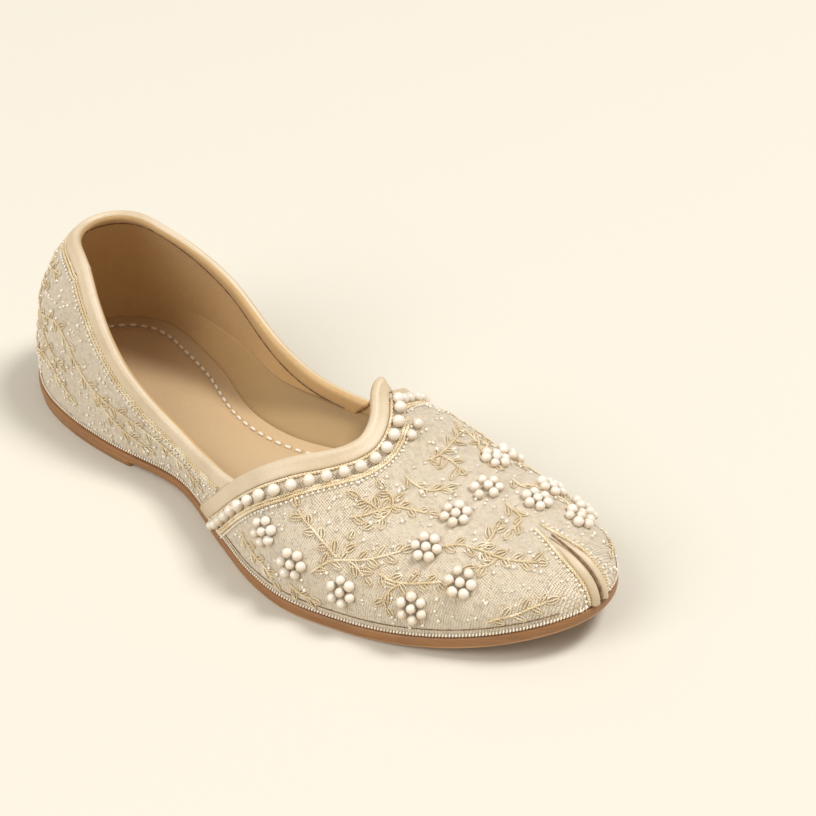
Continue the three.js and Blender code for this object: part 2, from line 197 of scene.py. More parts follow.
# ---------------------------------------------------------------- Outsole and heel lift
# A leather sole cut to the outline of the last with a small margin, its edge rounded and stained
# brown, the lower rim rubbed paler. A thin leather lift is nailed under the heel.
SOLE_GAP = 0.3
SOLE_EDGE = {  # margin outside the feather line and level between tread and top
    "out": [0.35, 1.0, 1.28, 1.34, 1.30, 1.2, 0.9, 0.25],
    "level": [1.0, 1.0, 0.9, 0.62, 0.34, 0.17, 0.05, 0.0],
}
LIFT_FRONT_X = 73.0
LIFT_EDGE = {
    "out": [0.2, 0.7, 0.85, 0.8, 0.2],
    "level": [1.0, 1.0, 0.7, 0.15, 0.0],
}
LIFT_TOP = 2.15
SOLE_BROWN = (0.34, 0.155, 0.052, 1)
SOLE_RIM = (0.56, 0.32, 0.14, 1)
SOLE_DARK = (0.19, 0.085, 0.033, 1)
TREAD_TAN = (0.36, 0.20, 0.10, 1)


class Value:
    """A number inside a shader. Arithmetic on it adds Math nodes."""

    def __init__(self, finish, socket):
        self.finish, self.socket = finish, socket

    def math(self, operation, *terms):
        return self.finish.node("Math", {"operation": operation}, dict(enumerate(terms)))

    def __add__(self, other):
        return self.math("ADD", self, other)

    def __sub__(self, other):
        return self.math("SUBTRACT", self, other)

    def __rsub__(self, other):
        return self.math("SUBTRACT", other, self)

    def __mul__(self, other):
        return self.math("MULTIPLY", self, other)

    def __truediv__(self, other):
        return self.math("DIVIDE", self, other)

    def __pow__(self, other):
        return self.math("POWER", self, other)

    __radd__, __rmul__ = __add__, __mul__

    def wave(self):
        return self.math("SINE", self)

    def size(self):
        return self.math("ABSOLUTE", self)

    def over(self, edge, width):
        """Soft step from 0 to 1 as the value passes an edge."""
        settings = {"interpolation_type": "SMOOTHSTEP"}
        low, high = edge - width / 2, edge + width / 2
        return self.finish.node("MapRange", settings, {"Value": self, "From Min": low, "From Max": high})


class Finish:
    """A material round one Principled shader, with nodes added one at a time."""

    def __init__(self, name, **constants):
        self.material = bpy.data.materials.new(name)
        self.material.use_nodes = True
        self.tree = self.material.node_tree
        self.shader = self.tree.nodes["Principled BSDF"]
        for socket, value in constants.items():
            self.shader.inputs[socket.replace("_", " ")].default_value = value

    def node(self, kind, settings=None, sockets=None, out=0):
        """One node of a kind: settings first, then the values or links of its sockets."""
        made = self.tree.nodes.new("ShaderNode" + kind)
        for name, value in (settings or {}).items():
            if name == "stops":
                for _ in range(len(value) - 2):
                    made.color_ramp.elements.new(0.5)
                for stop, (at, colour) in zip(made.color_ramp.elements, value):
                    stop.position, stop.color = at, colour
            else:
                setattr(made, name, value)
        for name, value in (sockets or {}).items():
            if isinstance(value, Value):
                self.tree.links.new(value.socket, made.inputs[name])
            else:
                made.inputs[name].default_value = value
        return Value(self, made.outputs[out])

    def mix(self, first, second, share):
        """Colour between two colours."""
        return self.node("Mix", {"data_type": "RGBA"}, {0: share, 6: first, 7: second}, out=2)

    def noise(self, where, scale, detail=2.0, rough=0.5):
        """Cloudy value about one half."""
        return self.node(
            "TexNoise", {}, {"Vector": where, "Scale": scale, "Detail": detail, "Roughness": rough})

    def cells(self, where, scale, out=0):
        """Distance to the nearest of scattered points, or that point's own random colour."""
        return self.node("TexVoronoi", {}, {"Vector": where, "Scale": scale}, out=out)

    def uv(self):
        return self.node("UVMap", {"uv_map": "pattern"})

    def parts(self, where):
        """First and second coordinate of a vector."""
        return [self.node("SeparateXYZ", {}, {0: where}, out=axis) for axis in (0, 1)]

    def object(self):
        return self.node("TexCoord", {}, out=3)

    def stretched(self, where, scale):
        """Coordinates drawn out along the axes."""
        return self.node("VectorMath", {"operation": "MULTIPLY"}, {0: where, 1: scale})

    def bump(self, height, depth, strength=1.0):
        normal = self.node("Bump", {}, {"Height": height, "Distance": depth, "Strength": strength})
        self.feed("Normal", normal)

    def feed(self, socket, value):
        self.tree.links.new(value.socket, self.shader.inputs[socket])


def grid_faces(rows, columns):
    """Quads of a net of points in rows, wound so that the row way crossed with the column way is out."""
    first = (np.arange(rows - 1)[:, None] * columns + np.arange(columns - 1)).ravel()
    return np.stack([first, first + columns, first + columns + 1, first + 1], -1)


def net_part(points, uv):
    """Points and pattern coordinates of a net, with its quads."""
    rows, columns = points.shape[:2]
    return points.reshape(-1, 3), grid_faces(rows, columns), uv.reshape(-1, 2)


def joined(parts):
    """Several parts as one list of points, quads and pattern coordinates."""
    start = np.cumsum([0] + [len(p[0]) for p in parts[:-1]])
    return (
        np.concatenate([p[0] for p in parts]),
        np.concatenate([p[1] + k for p, k in zip(parts, start)]),
        np.concatenate([p[2] for p in parts]),
    )


def make(name, part, finishes, finish_of=None, outward=False):
    """Object from a part in millimetres: metres over the plan's middle, doubled points welded, and
    where asked the faces turned outwards."""
    points, faces, uv = part
    mesh = bpy.data.meshes.new(name)
    mesh.from_pydata((points - PLAN_MIDDLE) / 1000, [], faces)
    corner = np.empty(len(mesh.loops), np.int32)
    mesh.loops.foreach_get("vertex_index", corner)
    mesh.uv_layers.new(name="pattern").data.foreach_set("uv", uv[corner].astype(np.float32).ravel())
    for finish in finishes:
        mesh.materials.append(finish.material)
    if finish_of is not None:
        mesh.polygons.foreach_set("material_index", finish_of.astype(np.int32))
    shape = bmesh.new()
    shape.from_mesh(mesh)
    bmesh.ops.remove_doubles(shape, verts=shape.verts, dist=2e-6)
    if outward:
        bmesh.ops.recalc_face_normals(shape, faces=shape.faces)
    shape.to_mesh(mesh)
    shape.free()
    mesh.polygons.foreach_set("use_smooth", np.ones(len(mesh.polygons), bool))
    made = bpy.data.objects.new(name, mesh)
    bpy.context.scene.collection.objects.link(made)
    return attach(made, "root")


def run_length(points):
    """Length along a row of points, from its start."""
    steps = np.linalg.norm(np.diff(points, axis=0), axis=-1)
    return np.concatenate([[0], np.cumsum(steps)])


def outline(s, side, out):
    """Feather line of the outer (-1) or inner (1) side, moved outwards in plan."""
    around = np.where(side < 0, np.pi, 0.0)
    step = skin(s + 1e-3, around) - skin(s - 1e-3, around)
    away = unit(np.stack([step[..., 1], -step[..., 0]], -1)) * -side
    moved = skin(s, around)
    moved[..., :2] += away * np.asarray(out)[..., None]
    return moved


def sole_plate(s, edge, low, high, across):
    """Closed plate under the foot: at each station a ring goes down the outer edge profile, across
    the tread, up the inner edge profile and back across the top."""
    out, level = np.array(edge["out"]), np.array(edge["level"])
    x = LENGTH * (1 - np.cos(s)) / 2
    z = low(x)[:, None] + (high(x) - low(x))[:, None] * level
    sides = []
    for side in (-1, 1):
        profile = outline(s[:, None] + 0 * out, side, out)
        profile[..., 2] = z
        sides.append(profile)
    share = np.linspace(0, 1, across + 2)[1:-1, None]
    tread = sides[0][:, None, -1] * (1 - share) + sides[1][:, None, -1] * share
    top = sides[1][:, None, 0] * (1 - share) + sides[0][:, None, 0] * share
    ring = np.concatenate([sides[0], tread, sides[1][:, ::-1], top, sides[0][:, :1]], 1)
    fall = np.concatenate(
        [1 - level, np.full(across, 2), 1 - level[::-1], np.full(across, -1), 1 - level[:1]])
    length = run_length(sides[0][:, 0])
    uv = np.stack(np.broadcast_arrays(length[:, None], fall[None, :]), -1)
    return net_part(ring, uv)


leather_edge = Finish("sole_leather_edge", Roughness=0.5, Coat_Weight=0.12)
edge_fall = leather_edge.parts(leather_edge.uv())[1]
edge_place = leather_edge.object()
edge_streak = leather_edge.noise(leather_edge.stretched(edge_place, (90, 90, 1500)), 1.0, 3)
edge_cloud = leather_edge.noise(edge_place, 70, 3)
edge_brown = leather_edge.mix(SOLE_DARK, SOLE_BROWN, (edge_streak * 0.9 + edge_cloud * 0.5).over(0.55, 0.8))
edge_worn = leather_edge.mix(edge_brown, SOLE_RIM, (edge_fall + edge_cloud * 0.16).over(0.86, 0.22))
edge_scuff = leather_edge.noise(leather_edge.stretched(edge_place, (160, 520, 160)), 1.0, 4, 0.65)
tread_tone = leather_edge.mix(TREAD_TAN, SOLE_BROWN, edge_scuff.over(0.52, 0.35))
edge_colour = leather_edge.mix(edge_worn, tread_tone, edge_fall.over(1.5, 0.5))
leather_edge.feed("Base Color", edge_colour)
leather_edge.feed("Roughness", edge_scuff * 0.3 + 0.36)
leather_edge.bump(edge_streak * 0.6 + edge_scuff * 0.4, 0.0003, 0.5)

sole_s = np.linspace(0, np.pi, 181)
sole_mesh = sole_plate(
    sole_s, SOLE_EDGE, lambda x: smooth(SOLE_LINE, "tread", x),
    lambda x: smooth(SOLE_LINE, "feather", x) - SOLE_GAP, 9)
outsole = make("outsole_leather", sole_mesh, [leather_edge], outward=True)
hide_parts("outsole")

lift_s = np.linspace(0, station_of(LIFT_FRONT_X), 61)
lift_mesh = sole_plate(lift_s, LIFT_EDGE, lambda x: 0 * x, lambda x: 0 * x + LIFT_TOP, 5)
lift_ring = lift_mesh[0].reshape(len(lift_s), -1, 3)
lift_front = np.broadcast_to(lift_ring[-1].mean(0), lift_ring[-1:].shape)
lift_front_uv = lift_mesh[2].reshape(len(lift_s), -1, 2)
lift_mesh = net_part(
    np.concatenate([lift_ring, lift_front]), np.concatenate([lift_front_uv, lift_front_uv[-1:]]))
heel_lift = make("heel_lift_leather", lift_mesh, [leather_edge], outward=True)
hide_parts("heel_lift")


# ---------------------------------------------------------------- Insole
# A tan leather sock over a thin pad, glued down inside the wall and sewn all round with white thread
# in long running stitches. It is narrow in the waist, and the pad swells gently inside the stitches.
INSOLE_INSET = {
    "x": [0, 20, 47, 82, 110, 140, 175, 250],
    "lateral": [1.9, 1.9, 3, 5, 6, 4, 2.5, 1.9],
    "medial": [1.9, 1.9, 6.5, 12, 16, 11, 4, 1.9],
}
INSOLE_TOP = 1.6
STITCH_IN = 6.2
PAD_SWELL = 0.7
STITCH_GROOVE = 0.35
STITCH_PITCH = 4.2
STITCH_LENGTH = 2.9
STITCH_RADIUS = 0.58
INSOLE_TAN = (0.58, 0.42, 0.245, 1)
INSOLE_DEEP_AND_SHADE = (0.47, 0.31, 0.155, 1)
THREAD_WHITE = (0.86, 0.79, 0.66, 1)


def shell(outer, inner, outer_uv, inner_uv):
    """Closed wall between two nets of the same size: the second net is turned over, and four strips
    close the borders."""
    rows, columns = outer.shape[:2]
    count = rows * columns
    index = np.arange(count).reshape(rows, columns)
    border = np.concatenate([index[0, :-1], index[:-1, -1], index[-1, :0:-1], index[:0:-1, 0]])
    after = np.roll(border, -1)
    rim = np.stack([border, after, after + count, border + count], -1)
    faces = np.concatenate([grid_faces(rows, columns), grid_faces(rows, columns)[:, ::-1] + count, rim])
    points = np.concatenate([outer.reshape(-1, 3), inner.reshape(-1, 3)])
    return points, faces, np.concatenate([outer_uv.reshape(-1, 2), inner_uv.reshape(-1, 2)])


def insole_edge(s, side, inside):
    """Sock's edge on one side: the feather line moved in by the table's inset, and further inside."""
    inset = smooth(INSOLE_INSET, "lateral" if side < 0 else "medial", LENGTH * (1 - np.cos(s)) / 2)
    return outline(s, side, -inset - inside)


def insole_height(points, border):
    """Height over the insole's base: level margin, a shallow groove on the stitch line, then the
    swell of the pad."""
    gap = np.linalg.norm(points[..., None, :2] - border[:, :2], axis=-1).min(-1)
    inside = gap - STITCH_IN
    groove = STITCH_GROOVE * np.exp(-((inside / 0.8) ** 2))
    return PAD_SWELL * ease(inside / 5) - groove, gap


insole_s = np.linspace(0.0, np.pi, 150)
insole_across = np.linspace(0, 1, 61)
insole_across = insole_across + 0.08 * np.sin(2 * np.pi * insole_across) * -1
insole_border = np.concatenate(
    [insole_edge(insole_s, -1, 0), insole_edge(insole_s, 1, 0)])
outer_line = insole_border[:150, None]
inner_line = insole_border[150:, None]
insole_top = outer_line * (1 - insole_across[:, None]) + inner_line * insole_across[:, None]
insole_base = insole_top.copy()
insole_base[..., 2] += 0.1
insole_rise, insole_gap = insole_height(insole_top, insole_border)
insole_top[..., 2] += INSOLE_TOP + insole_rise
insole_uv = np.stack([insole_gap, insole_top[..., 0]], -1)

insole_leather = Finish("insole_leather", Roughness=0.62)
sock_gap = insole_leather.parts(insole_leather.uv())[0]
sock_place = insole_leather.object()
sock_grain = insole_leather.cells(sock_place, 1500)
sock_fine = insole_leather.noise(sock_place, 900, 3, 0.6)
sock_cloud = insole_leather.noise(sock_place, 28, 4, 0.55)
sock_crease = (sock_gap - STITCH_IN).size()
# Painted shade: the leather is darkened along the stitch groove, where shade falls; cloudy tone and fine
# grain are mixed in as well.
sock_groove_shade = 1 - sock_crease.over(0.9, 1.2)
sock_tone_and_shade = sock_cloud.over(0.5, 0.7) * 0.28 + sock_groove_shade * 0.45 + sock_fine.over(0.62, 0.3) * 0.16
insole_leather.feed("Base Color", insole_leather.mix(INSOLE_TAN, INSOLE_DEEP_AND_SHADE, sock_tone_and_shade))
insole_leather.feed("Roughness", sock_cloud * 0.25 + 0.48)
insole_leather.bump(sock_grain * 0.5 + sock_fine * 0.6, 0.00025, 0.45)

insole = make(
    "insole_sock", shell(insole_top, insole_base, insole_uv, insole_uv), [insole_leather], outward=True)
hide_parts("insole")


def rounded(count, blunt=0.18):
    """Thickness along a tube, 0 to 1: quarter-round ends that close to points."""
    t = np.linspace(0, 1, count)
    end = np.clip(np.minimum(t, 1 - t) / blunt, 0, 1)
    return np.sqrt(np.clip(1 - (1 - end) ** 2, 0, 1))


def tubes(paths, normals, radius, sides, profile=None):
    """Round threads along many paths of equally many points: each point carries a ring in the plane
    of the surface normal and the way across, and the end rings shrink to points."""
    count, length = paths.shape[:2]
    travel = unit(np.gradient(paths, axis=1))
    across = unit(np.cross(travel, normals))
    upward = np.cross(across, travel)
    angle = np.linspace(0, 2 * np.pi, sides + 1)
    profile = rounded(length) if profile is None else profile
    size = np.asarray(radius, float).reshape(-1, 1, 1, 1) * profile[None, :, None, None]
    ring = np.cos(angle)[:, None] * across[:, :, None] + np.sin(angle)[:, None] * upward[:, :, None]
    points = paths[:, :, None] + size * ring
    steps = np.linalg.norm(np.diff(paths, axis=1), axis=-1)
    run = np.concatenate([np.zeros((count, 1)), np.cumsum(steps, 1)], 1)
    uv = np.stack(np.broadcast_arrays(run[:, :, None], angle / (2 * np.pi)), -1)
    one = grid_faces(length, sides + 1)
    faces = one[None] + (np.arange(count) * length * (sides + 1))[:, None, None]
    return points.reshape(-1, 3), faces.reshape(-1, 4), uv.reshape(-1, 2)


def resample(points, pitch, closed=False):
    """Places, as fractions of an index, that lie one pitch apart along a row of points."""
    length = run_length(points)
    count = max(int(round(length[-1] / pitch)), 2)
    wanted = (np.arange(count) + 0.5) * length[-1] / count if closed else np.linspace(0, length[-1], count)
    return np.interp(wanted, length, np.arange(len(points)))


def at_index(values, index):
    """Values of a row at fractional indices."""
    low = np.clip(np.floor(index).astype(int), 0, len(values) - 2)
    share = (index - low).reshape((-1,) + (1,) * (values.ndim - 1))
    return values[low] * (1 - share) + values[low + 1] * share


white_thread = Finish("white_sewing_thread", Roughness=0.6, Base_Color=THREAD_WHITE, Sheen_Weight=0.3)
thread_run, thread_turn = white_thread.parts(white_thread.uv())
thread_twist = (thread_run * 9 + thread_turn * 6.283).wave()
white_thread.bump(thread_twist, 0.0001, 0.5)

loop_s = np.linspace(0.0, np.pi, 400)
stitch_loop = np.concatenate([
    insole_edge(loop_s, -1, STITCH_IN), insole_edge(loop_s[::-1], 1, STITCH_IN)])
stitch_at = resample(stitch_loop, STITCH_PITCH, closed=True)
stitch_centre = at_index(stitch_loop, stitch_at)
stitch_way = unit(at_index(np.gradient(stitch_loop, axis=0), stitch_at))
stitch_span = np.linspace(-0.5, 0.5, 7)
stitch_path = stitch_centre[:, None] + stitch_way[:, None] * stitch_span[:, None] * STITCH_LENGTH
stitch_path[..., 2] += INSOLE_TOP - STITCH_GROOVE + 0.55 - 1.1 * stitch_span**2
stitch_up = np.broadcast_to(np.array([0.0, 0.0, 1.0]), stitch_path.shape)
insole_stitches = make(
    "insole_stitches", tubes(stitch_path, stitch_up, STITCH_RADIUS, 7, rounded(7, 0.3)), [white_thread])


# ---------------------------------------------------------------- Quarter and vamp
# The upper: a quarter round the heel and a vamp over the toes, each woven ivory cloth with a glint of
# metal thread outside, stiffened, and lined with tan leather inside. Their walls meet under the strap.
WALL_IN = 1.7
VAMP_LIFT = 0.5
TOPLINE = {
    "x": [-5, 22, 36, 50, 60, 75, 90, 105, 120, 140],
    "lateral": [62, 62, 60, 51.5, 44, 33.5, 25.5, 22.5, 24.5, 28],
    "medial": [62, 62, 61, 56.5, 51, 41.5, 32.5, 23.5, 19, 18],
}
THROAT = {
    "turn": [0, 0.03, 0.08, 0.13, 0.18, 0.24, 0.32, 0.43, 0.55, 0.64, 0.74, 0.86, 1],
    "lateral": [156.3, 158.4, 162.6, 165, 165.9, 165, 162, 156.3, 149, 142.4, 134.8, 126, 114.7],
    "medial": [156.3, 155.7, 154.9, 154.2, 153.6, 153.2, 152.6, 150.6, 146.6, 142, 134.8, 126, 114.7],
}
CORNER_TURN = {-1: 0.74, 1: 0.82}
PEAK_ROUND = 0.014
WEAVE_PITCH = 0.72
CLOTH_IVORY = (0.93, 0.80, 0.61, 1)
CLOTH_LIGHT = (0.99, 0.94, 0.85, 1)
CLOTH_SHADE = (0.62, 0.475, 0.30, 1)
LINING_TAN = (0.62, 0.42, 0.20, 1)
LINING_DEEP = (0.50, 0.31, 0.13, 1)


def throat_x(turn):
    """Length of the vamp's rear edge at a turn from the crown, rounded over at the peak."""
    way = np.abs(turn)
    blunt = np.sqrt(way**2 + PEAK_ROUND**2) - PEAK_ROUND * np.exp(-((way / 0.05) ** 2))
    outer, inner = (smooth(THROAT, column, blunt, "turn") for column in ("lateral", "medial"))
    return np.where(np.asarray(turn) > 0, outer, inner)


def throat_turn(x):
    """Turn at which the lower part of the vamp's rear edge reaches a length."""
    turn = np.linspace(1, 0.2, 400)
    return np.interp(x, throat_x(turn), turn)


def topline_rise(s, side):
    """Angle up from the feather edge at which the skin reaches the topline, by halving."""
    column = "lateral" if side < 0 else "medial"
    low, high = np.zeros_like(s), np.full_like(s, np.pi / 2)
    for _ in range(40):
        mid = (low + high) / 2
        p = skin(s, np.pi - mid if side < 0 else mid)
        under = p[..., 2] < smooth(TOPLINE, column, p[..., 0])
        low, high = np.where(under, mid, low), np.where(under, high, mid)
    return low


def cloth_uv(s, around):
    """Cloth coordinates in millimetres, straight along the foot and square over it: way over the
    foot is summed from the crown."""
    steps = np.linspace(0, 1, 25)
    way = np.pi / 2 + (around[..., None] - np.pi / 2) * steps
    pieces = np.linalg.norm(np.diff(skin(s[..., None] + 0 * way, way), axis=-2), axis=-1)
    girth = pieces.sum(-1) * np.sign(around - np.pi / 2)
    return np.stack([skin(s, around)[..., 0], girth], -1)


def quarter_place(t, rise):
    """Place on the quarter: t runs from the outer corner (-1) round the heel to the inner one (1),
    rise from the feather edge or the vamp's edge (0) to the topline (1)."""
    t, rise = np.broadcast_arrays(np.asarray(t, float), np.asarray(rise, float))
    s, around = np.zeros(t.shape), np.zeros(t.shape)
    for side in (-1, 1):
        mine = t < 0 if side < 0 else t >= 0
        corner = station_of(throat_x(CORNER_TURN[side]))
        at = np.abs(t[mine]) * corner
        x = LENGTH * (1 - np.cos(at)) / 2
        foot = np.where(x > throat_x(1.0), np.pi / 2 * (1 - throat_turn(x)), 0)
        angle = foot + (np.maximum(topline_rise(at, side), foot) - foot) * rise[mine]
        s[mine], around[mine] = at, np.pi - angle if side < 0 else angle
    return s, around


def vamp_place(turn, run):
    """Place on the vamp: turn from the inner feather edge (-1) over the crown (0) to the outer one
    (1), run from the rear edge (0) to the toe tip (1)."""
    turn, run = np.broadcast_arrays(np.asarray(turn, float), np.asarray(run, float))
    rear = station_of(throat_x(turn))
    return rear + (np.pi - rear) * run, np.pi / 2 * (1 + turn)


cloth = Finish("ivory_metal_cloth", Roughness=0.6, Sheen_Weight=0.35, Sheen_Roughness=0.4)
cloth_at = cloth.uv()
cloth_bend = cloth.noise(cloth_at, 0.22, 2)
cloth_u, cloth_v = cloth.parts(cloth_at)
warp = (cloth_u + cloth_bend * 0.9) * (np.pi / WEAVE_PITCH)
weft = (cloth_v + cloth_bend * 0.7) * (np.pi / WEAVE_PITCH)
over_under = warp.wave() * weft.wave()
warp_top = (warp + np.pi / 2).wave().size() * (over_under * 0.5 + 0.5)
weft_top = (weft + np.pi / 2).wave().size() * (0.5 - over_under * 0.5)
weave = warp_top.math("MAXIMUM", warp_top, weft_top)
slub = cloth.noise(cloth.stretched(cloth_at, (0.25, 1.6, 1)), 1.0, 3, 0.6)
mottle = cloth.noise(cloth_at, 0.55, 4, 0.65)
cloud = cloth.noise(cloth_at, 0.06, 2)
fleck_far = cloth.cells(cloth_at, 1.0)
fleck_pick = cloth.cells(cloth_at, 1.0, out=1)
metal_fleck_glint = (1 - fleck_far.over(0.26, 0.14)) * cloth.parts(fleck_pick)[0].over(0.5, 0.1)
cloth_tone = weave * 0.5 + slub * 0.3 + mottle * 0.9 + cloud * 0.2
cloth_low = cloth.mix(CLOTH_SHADE, CLOTH_IVORY, cloth_tone.over(0.82, 0.36))
cloth_high = cloth.mix(cloth_low, CLOTH_LIGHT, cloth_tone.over(1.15, 0.4) * 0.7)
# The metal-thread flecks are lifted to the light ivory: partly their own pale metal, partly a painted glint.
cloth.feed("Base Color", cloth.mix(cloth_high, CLOTH_LIGHT, metal_fleck_glint * 0.8))
cloth.feed("Roughness", 0.62 - metal_fleck_glint * 0.35 - weave * 0.08)
cloth.feed("Metallic", metal_fleck_glint * 0.06)
cloth.bump(weave * 0.8 + slub * 0.25 + metal_fleck_glint * 0.9 + mottle * 0.6, 0.0009, 1.0)

lining = Finish("lining_leather", Roughness=0.7, Sheen_Weight=0.15)
lining_place = lining.object()
lining_cloud = lining.noise(lining_place, 32, 4, 0.6)
lining_nap = lining.noise(lining_place, 700, 3, 0.6)
lining_pore = lining.cells(lining_place, 1300)
lining_share = lining_cloud.over(0.5, 0.6) * 0.5 + lining_nap.over(0.55, 0.4) * 0.25
lining.feed("Base Color", lining.mix(LINING_TAN, LINING_DEEP, lining_share))
lining.feed("Roughness", lining_cloud * 0.25 + 0.55)
lining.bump(lining_pore * 0.5 + lining_nap * 0.6, 0.0002, 0.4)


def lined_wall(name, s, around, lift):
    """Closed wall of cloth outside and lining inside over a net of places on the skin."""
    outer, inner = lay(s, around, lift), lay(s, around, -WALL_IN)
    uv = cloth_uv(s, around)
    part = shell(outer, inner, uv, uv)
    count = (s.shape[0] - 1) * (s.shape[1] - 1)
    finish_of = np.zeros(len(part[1]))
    finish_of[count:] = 1
    return make(name, part, [cloth, lining], finish_of, outward=True)


quarter_t = np.sign(np.linspace(-1, 1, 191)) * np.abs(np.linspace(-1, 1, 191)) ** 1.1
quarter_net = quarter_place(quarter_t[:, None], np.linspace(0, 1, 44)[None, :])
quarter = lined_wall("quarter", *quarter_net, 0.0)
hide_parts("upper")

vamp_run = np.linspace(0, 1, 96)
vamp_turn = np.linspace(1, -1, 141)
vamp_turn = np.sign(vamp_turn) * np.abs(vamp_turn) ** 1.25
vamp_net = vamp_place(vamp_turn[:, None], vamp_run[None, :])
vamp = lined_wall("vamp", *vamp_net, VAMP_LIFT)
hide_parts("upper")


# ---------------------------------------------------------------- Lining foot
# Below, the lining leaves the wall and slopes in to the sock's edge, most of all at the inner waist,
# where the sock is narrow; one thin closed strip on each side.
COVE_TURN = 0.2
COVE_THICK = 0.4
COVE_HEAD = -WALL_IN + 0.25
COVE_HOLLOW = 0.5
COVE_SUNK = 0.1
SHADE_FROM_X = 45
SHADE_LENGTH = 60
FOOT_PAINTED_SHADE = (0.36, 0.235, 0.105, 1)

foot = Finish("lining_foot_leather", Roughness=0.7, Sheen_Weight=0.15)
foot_cloud = foot.noise(foot.object(), 32, 4, 0.6)
foot_nap = foot.noise(foot.object(), 700, 3, 0.6)
foot_share = foot_cloud.over(0.5, 0.6) * 0.5 + foot_nap.over(0.55, 0.4) * 0.25
foot_tone = foot.mix(LINING_TAN, LINING_DEEP, foot_share)
# Painted shade: the lining foot darkens towards the toe, deep inside the shoe where shade falls.
foot.feed("Base Color", foot.mix(foot_tone, FOOT_PAINTED_SHADE, foot.parts(foot.uv())[0] * 0.9))
foot.bump(foot_nap, 0.0002, 0.4)

cove_s = np.linspace(0.12, 2.3, 140)
cove_rise = np.linspace(0, 1, 9)[:, None, None]
cove_parts = []
for side in (-1, 1):
    cove_foot = insole_edge(cove_s, side, 0)
    cove_foot[..., 2] += INSOLE_TOP - COVE_SUNK
    cove_head, cove_wall = (
        lay(cove_s, np.pi * (side < 0) + side * turn + 0 * cove_s, COVE_HEAD + 0 * cove_s)
        for turn in (COVE_TURN, COVE_TURN / 3))
    cove_bend = cove_wall * COVE_HOLLOW + (cove_foot + cove_head) / 2 * (1 - COVE_HOLLOW)
    cove = (cove_foot * (1 - cove_rise) ** 2 + 2 * cove_bend * cove_rise * (1 - cove_rise)
            + cove_head * cove_rise**2)
    # The first pattern coordinate is the share of painted shade, from none at the heel to full towards the
    # toe.
    cove_shade_uv = np.stack([ease((cove[..., 0] - SHADE_FROM_X) / SHADE_LENGTH), 0 * cove[..., 0]], -1)
    cove_parts.append(shell(cove, cove - np.array([0, 0, COVE_THICK]), cove_shade_uv, cove_shade_uv))
cove_strips = make("lining_foot", joined(cove_parts), [foot], outward=True)


# ---------------------------------------------------------------- Collar and throat bindings
# Cream leather strips folded over the raw edges, padded to a soft roll on top and sewn through; the
# inner leg is faced with tan leather. The throat strip runs on down the vamp's edge as a flat strap.
FOLD = {  # way in from the edge and lift over the cloth, from the outer leg round to the inner one
    "width": [5.0, 5.1, 4.9, 4.2, 2.9, 1.7, 0.6, -0.4, -1.2, -1.65, -1.8, -1.65, -1.2, -0.4, 0.8, 2.2,
              3.6, 4.5, 4.7, 4.6, 2.0, -0.3, -0.4, -0.3, 2.0],
    "lift": [0.05, 0.5, 0.85, 1.0, 1.05, 1.12, 1.32, 1.35, 1.05, 0.4, -0.5, -1.4, -2.1, -2.5, -2.65, -2.6,
             -2.55, -2.45, -2.1, -1.72, -1.72, -1.72, -0.8, 0.02, 0.02],
}
COLLAR_LEG = 0.70
THROAT_LEG = 0.84
FACING_FROM = 10
FACING_TO = 19
MITRE_FADE = 9.0
BINDING_CREAM = (0.60, 0.475, 0.315, 1)
BINDING_LIGHT = (0.67, 0.555, 0.40, 1)
BINDING_SHADE = (0.48, 0.35, 0.20, 1)

binding_leather = Finish("binding_leather", Roughness=0.45, Coat_Weight=0.1, Coat_Roughness=0.4)
strip_place = binding_leather.object()
strip_grain = binding_leather.cells(strip_place, 1100)
strip_fine = binding_leather.noise(strip_place, 1500, 2, 0.5)
strip_cloud = binding_leather.noise(strip_place, 60, 3, 0.55)
strip_tone = binding_leather.mix(BINDING_CREAM, BINDING_LIGHT, strip_cloud.over(0.5, 0.4))
strip_tone = binding_leather.mix(strip_tone, BINDING_SHADE, strip_fine.over(0.64, 0.3) * 0.3)
binding_leather.feed("Base Color", strip_tone)
binding_leather.feed("Roughness", strip_cloud * 0.2 + 0.36)
binding_leather.bump(strip_grain * 0.6 + strip_fine * 0.3, 0.00022, 0.4)


def edge_frame(s, around, inward):
    """Points of an edge with their normals, and the unit way square to the edge into the panel."""
    points = skin(s, around)
    normal = skin_frame(s, around)[2]
    return points, normal, unit(np.cross(np.gradient(points, axis=0), normal)) * inward


def moved(s, around, way, width, lift):
    """Points reached from an edge after a width along a given way on the skin, then lifted."""
    along, over, normal = skin_frame(s, around)
    first = unit(along)
    second = unit(over - (over * first).sum(-1, keepdims=True) * first)
    ahead, aside = (way * first).sum(-1), (way * second).sum(-1)
    return lay(*walk(s, around, ahead * width, aside * width), lift)


